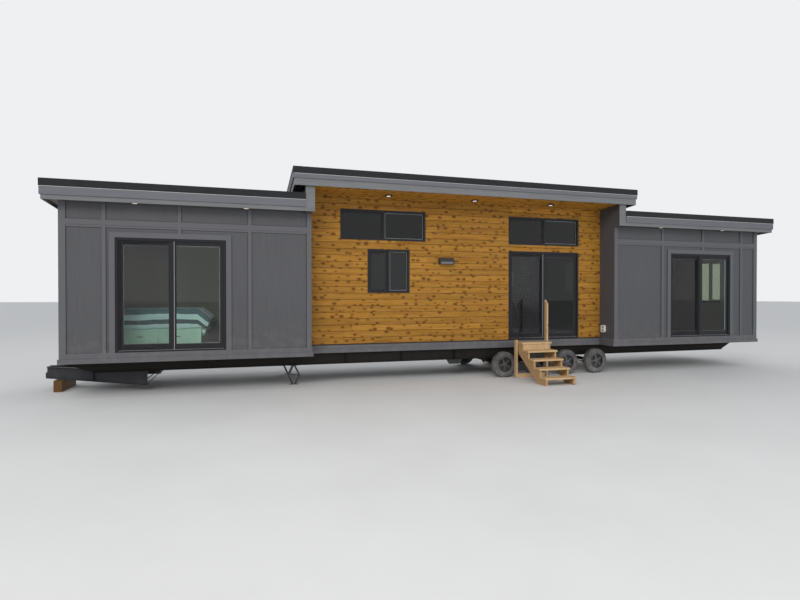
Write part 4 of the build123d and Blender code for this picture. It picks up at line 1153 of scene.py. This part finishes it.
def make_fitting_details():
    """Flap of the wall hood, and lid seams of the outlet cover."""
    shape = Shape()
    x, z = HOOD[0], FLOOR + HOOD[1]
    face = RECESS - 0.11
    shape.box((x + 0.03, face - 0.002, z + 0.004), (x + 0.3, face - HAIR, z + 0.05))
    for side in (x - 0.0018, x + 0.33):
        shape.box((side, RECESS - 0.06, z + 0.01), (side + 0.0018, RECESS - 0.012, z + 0.12), 1)
    shape.make("hood_flap", [hood_paint, light_trim])

    seam = Shape()
    face = RECESS_END - 0.038
    low, high = FLOOR + 0.13, FLOOR + 0.3
    for z0, z1 in ((low + 0.02, low + 0.075), (low + 0.095, high - 0.02)):
        middle = (z0 + z1) / 2
        for proud, y0, y1, foot, top in (
            (0.0012, 0.31, 0.39, z0, z0 + 0.004),
            (0.0012, 0.31, 0.39, z1 - 0.004, z1),
            (0.0012, 0.31, 0.314, z0, z1),
            (0.0012, 0.386, 0.39, z0, z1),
            (0.0016, 0.33, 0.37, middle - 0.012, middle + 0.012),
        ):
            seam.box((face - proud, y0, foot), (face + 0.001, y1, top))
    seam.make("outlet_lids", [light_trim])


def make_drawers():
    """Drawer fronts and pulls on the bed's near side."""
    shape = Shape()
    y = BED_NEAR_SIDE
    for x0, x1 in ((0.2, 0.795), (0.805, 1.435), (1.445, 2.13)):
        middle = (x0 + x1) / 2
        shape.box((x0, y - 0.016, FLOOR + 0.05), (x1, y - HAIR, FLOOR + 0.345))
        shape.box((middle - 0.05, y - 0.032, FLOOR + 0.212), (middle + 0.05, y - 0.0162, FLOOR + 0.226), 1)
    shape.make("bed_drawers", [bed_paint, light_trim])


def make_quilt():
    """Mattress and quilt with its hem over the bed's near side, swelled by a short cloth simulation."""
    low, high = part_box("bed_quilt")
    piece = add_object("quilt_cover", hemmed_quilt(low, high))
    remesh = piece.modifiers.new("remesh", "REMESH")
    remesh.mode = "VOXEL"
    remesh.voxel_size = 0.024
    apply_modifiers(piece)
    start = [vert.co.copy() for vert in piece.data.vertices]
    swell(piece)
    settle(piece, start, low, high)
    smoother = piece.modifiers.new("smooth", "SUBSURF")
    smoother.levels = smoother.render_levels = 1
    apply_modifiers(piece)
    piece.data.materials.append(quilt)
    for face in piece.data.polygons:
        face.use_smooth = True
    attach(piece, "house")
    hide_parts("bed_quilt")


def hemmed_quilt(low, high):
    """Copy of the quilt's mesh, with the volume of its near hem added."""
    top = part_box("bed_base")[1].z
    form = bmesh.new()
    form.from_mesh(nodes["bed_quilt"].data)
    hems = ((-0.05, -0.002, top - 0.07, top + 0.06), (-0.05, 0.03, top + 0.015, high.z - 0.07))
    for y0, y1, z0, z1 in hems:
        a, b = Vector((low.x + 0.005, low.y + y0, z0)), Vector((high.x - 0.01, low.y + y1, z1))
        place = Matrix.Translation((a + b) / 2) @ Matrix.Diagonal((*(b - a), 1))
        bmesh.ops.create_cube(form, size=1, matrix=place)
    mesh = bpy.data.meshes.new("quilt_cover")
    form.to_mesh(mesh)
    form.free()
    return mesh


def apply_modifiers(piece):
    """Replaces a piece's mesh by what its modifiers make of it."""
    graph = bpy.context.evaluated_depsgraph_get()
    made = bpy.data.meshes.new_from_object(piece.evaluated_get(graph))
    piece.modifiers.clear()
    old, piece.data = piece.data, made
    bpy.data.meshes.remove(old)


def swell(piece):
    """Short cloth simulation with air pressure and no gravity."""
    cloth = piece.modifiers.new("cloth", "CLOTH")
    cloth.settings.use_pressure = True
    cloth.settings.uniform_pressure_force = 4
    cloth.settings.effector_weights.gravity = 0
    cloth.point_cache.frame_start = 1
    cloth.point_cache.frame_end = 20
    for step in range(1, 21):
        bpy.context.scene.frame_set(step)
    apply_modifiers(piece)
    bpy.context.scene.frame_set(1)


def held(value, low=0.0, high=1.0):
    return min(max(value, low), high)


def settle(piece, start, low, high):
    """Caps how far the cloth moved, slopes its foot end, waves its hem and keeps it off the bed's base."""
    base_low, base_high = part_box("bed_base")
    for vert, rest in zip(piece.data.vertices, start):
        moved = vert.co - rest
        if moved.length > QUILT_SWELL:
            moved *= QUILT_SWELL / moved.length
        point = rest + moved
        over = point.x - base_high.x
        if over > 0:
            reach = 0.045 + 0.145 * held((point.z - low.z) / 0.3)
            point.x = base_high.x + over * reach / (high.x - base_high.x)
        past = max(0.0, point.x - base_high.x + QUILT_FOLD)
        if point.z > base_high.z:
            kept = 1 - FOOT_SLOPE * past / (high.z - base_high.z)
            point.z = base_high.z + (point.z - base_high.z) * kept
        drape = held((high.z - 0.03 - point.z) / 0.2)
        point.y = max(point.y, low.y - 0.006 - 0.046 * drape)
        hem = held(1 - (point.z - base_high.z + 0.09) / 0.2)
        if point.y < base_low.y:
            point.z += hem * (0.012 * sin(point.x * 10) + 0.008 * sin(point.x * 23 + 1) - 0.012)
            point.y += hem * 0.006 * sin(point.x * 31)
        elif over > 0:
            point.x += hem * 0.008 * sin(point.y * 26)
        point = outside(point, base_low, base_high, 0.005)
        point.x = held(point.x, low.x + 0.0005, high.x + 0.068)
        point.y = held(point.y, low.y - 0.053, high.y - 0.0005)
        point.z = held(point.z, low.z + 0.0005, high.z + 0.006)
        vert.co = point


def outside(point, low, high, gap):
    """Point moved out of the bed's base through its top, near side or foot, whichever is closest."""
    depths = (high.z + gap - point.z, point.y - low.y + gap, high.x + gap - point.x)
    nearest = min(depths)
    if nearest > 0:
        ways = ((0, 0, 1), (0, -1, 0), (1, 0, 0))
        point = point + Vector(ways[depths.index(nearest)]) * nearest
    return point


# Studio

def make_camera():
    data = bpy.data.cameras.new("camera")
    data.lens = 22.79
    data.sensor_width = 36
    data.clip_end = 500
    camera = add_object("camera", data)
    camera.location = spot(3.176, -9.939, 1.795)
    camera.rotation_euler = (radians(90 - 0.461), 0, radians(-16.26))
    bpy.context.scene.camera = camera


def make_light(name, place, target, size, power, tint):
    data = bpy.data.lights.new(name, "AREA")
    data.shape = "RECTANGLE"
    data.size, data.size_y = size
    data.energy = power
    data.color = tint
    light = add_object(name, data)
    light.location = place
    light.visible_glossy = False
    light.rotation_euler = (Vector(target) - Vector(place)).to_track_quat("-Z", "Y").to_euler()


def make_world():
    """Soft even light, and a pale backdrop for what the camera and reflections see."""
    world = bpy.data.worlds.new("studio")
    bpy.context.scene.world = world
    world.use_nodes = True
    graph = Graph(world.node_tree, world.node_tree.nodes["Background"])
    graph.end(Color=color(0.93, 0.96, 1.0), Strength=0.8)
    pale = graph.add("Background", Color=color(0.86, 0.87, 0.88), Strength=1.0)
    graph.by_ray(("Is Camera Ray", "Is Glossy Ray", "Is Transmission Ray"), graph.last, pale, "World Output")


def make_floor():
    mesh = bpy.data.meshes.new("studio_floor")
    half = 160
    points = [(-half, -half, 0), (half, -half, 0), (half, half, 0), (-half, half, 0)]
    mesh.from_pydata(points, [], [(0, 1, 2, 3)])
    mesh.materials.append(plain("studio_floor", (0.6, 0.6, 0.595), 0.85, 0.03, 0.6))
    floor = add_object("studio_floor", mesh)
    floor.location.z = -0.001


def make_studio():
    make_camera()
    make_world()
    make_floor()
    make_light("key", (-9, -15, 11), (0, 0, 1.8), (9, 7), 1500, (1.0, 0.97, 0.93))
    make_light("fill", (5, -16, 2.6), (1, 0, 2.6), (12, 3), 650, (0.97, 0.98, 1.0))
    make_light("rim", (4, 14, 10), (0, 0, 2.5), (9, 5), 700, (1.0, 1.0, 1.0))
    bpy.context.scene.view_settings.view_transform = "Standard"


make_studio()
dress_nodes()
make_cladding()
make_trim_joint_shadows()
make_doors()
make_windows()
make_roof_details()
make_lenses()
make_wheels()
make_spring_bolts()
make_hanger_bolts()
make_hitch_details()
make_stair_screws()
make_fitting_details()
make_drawers()
make_quilt()
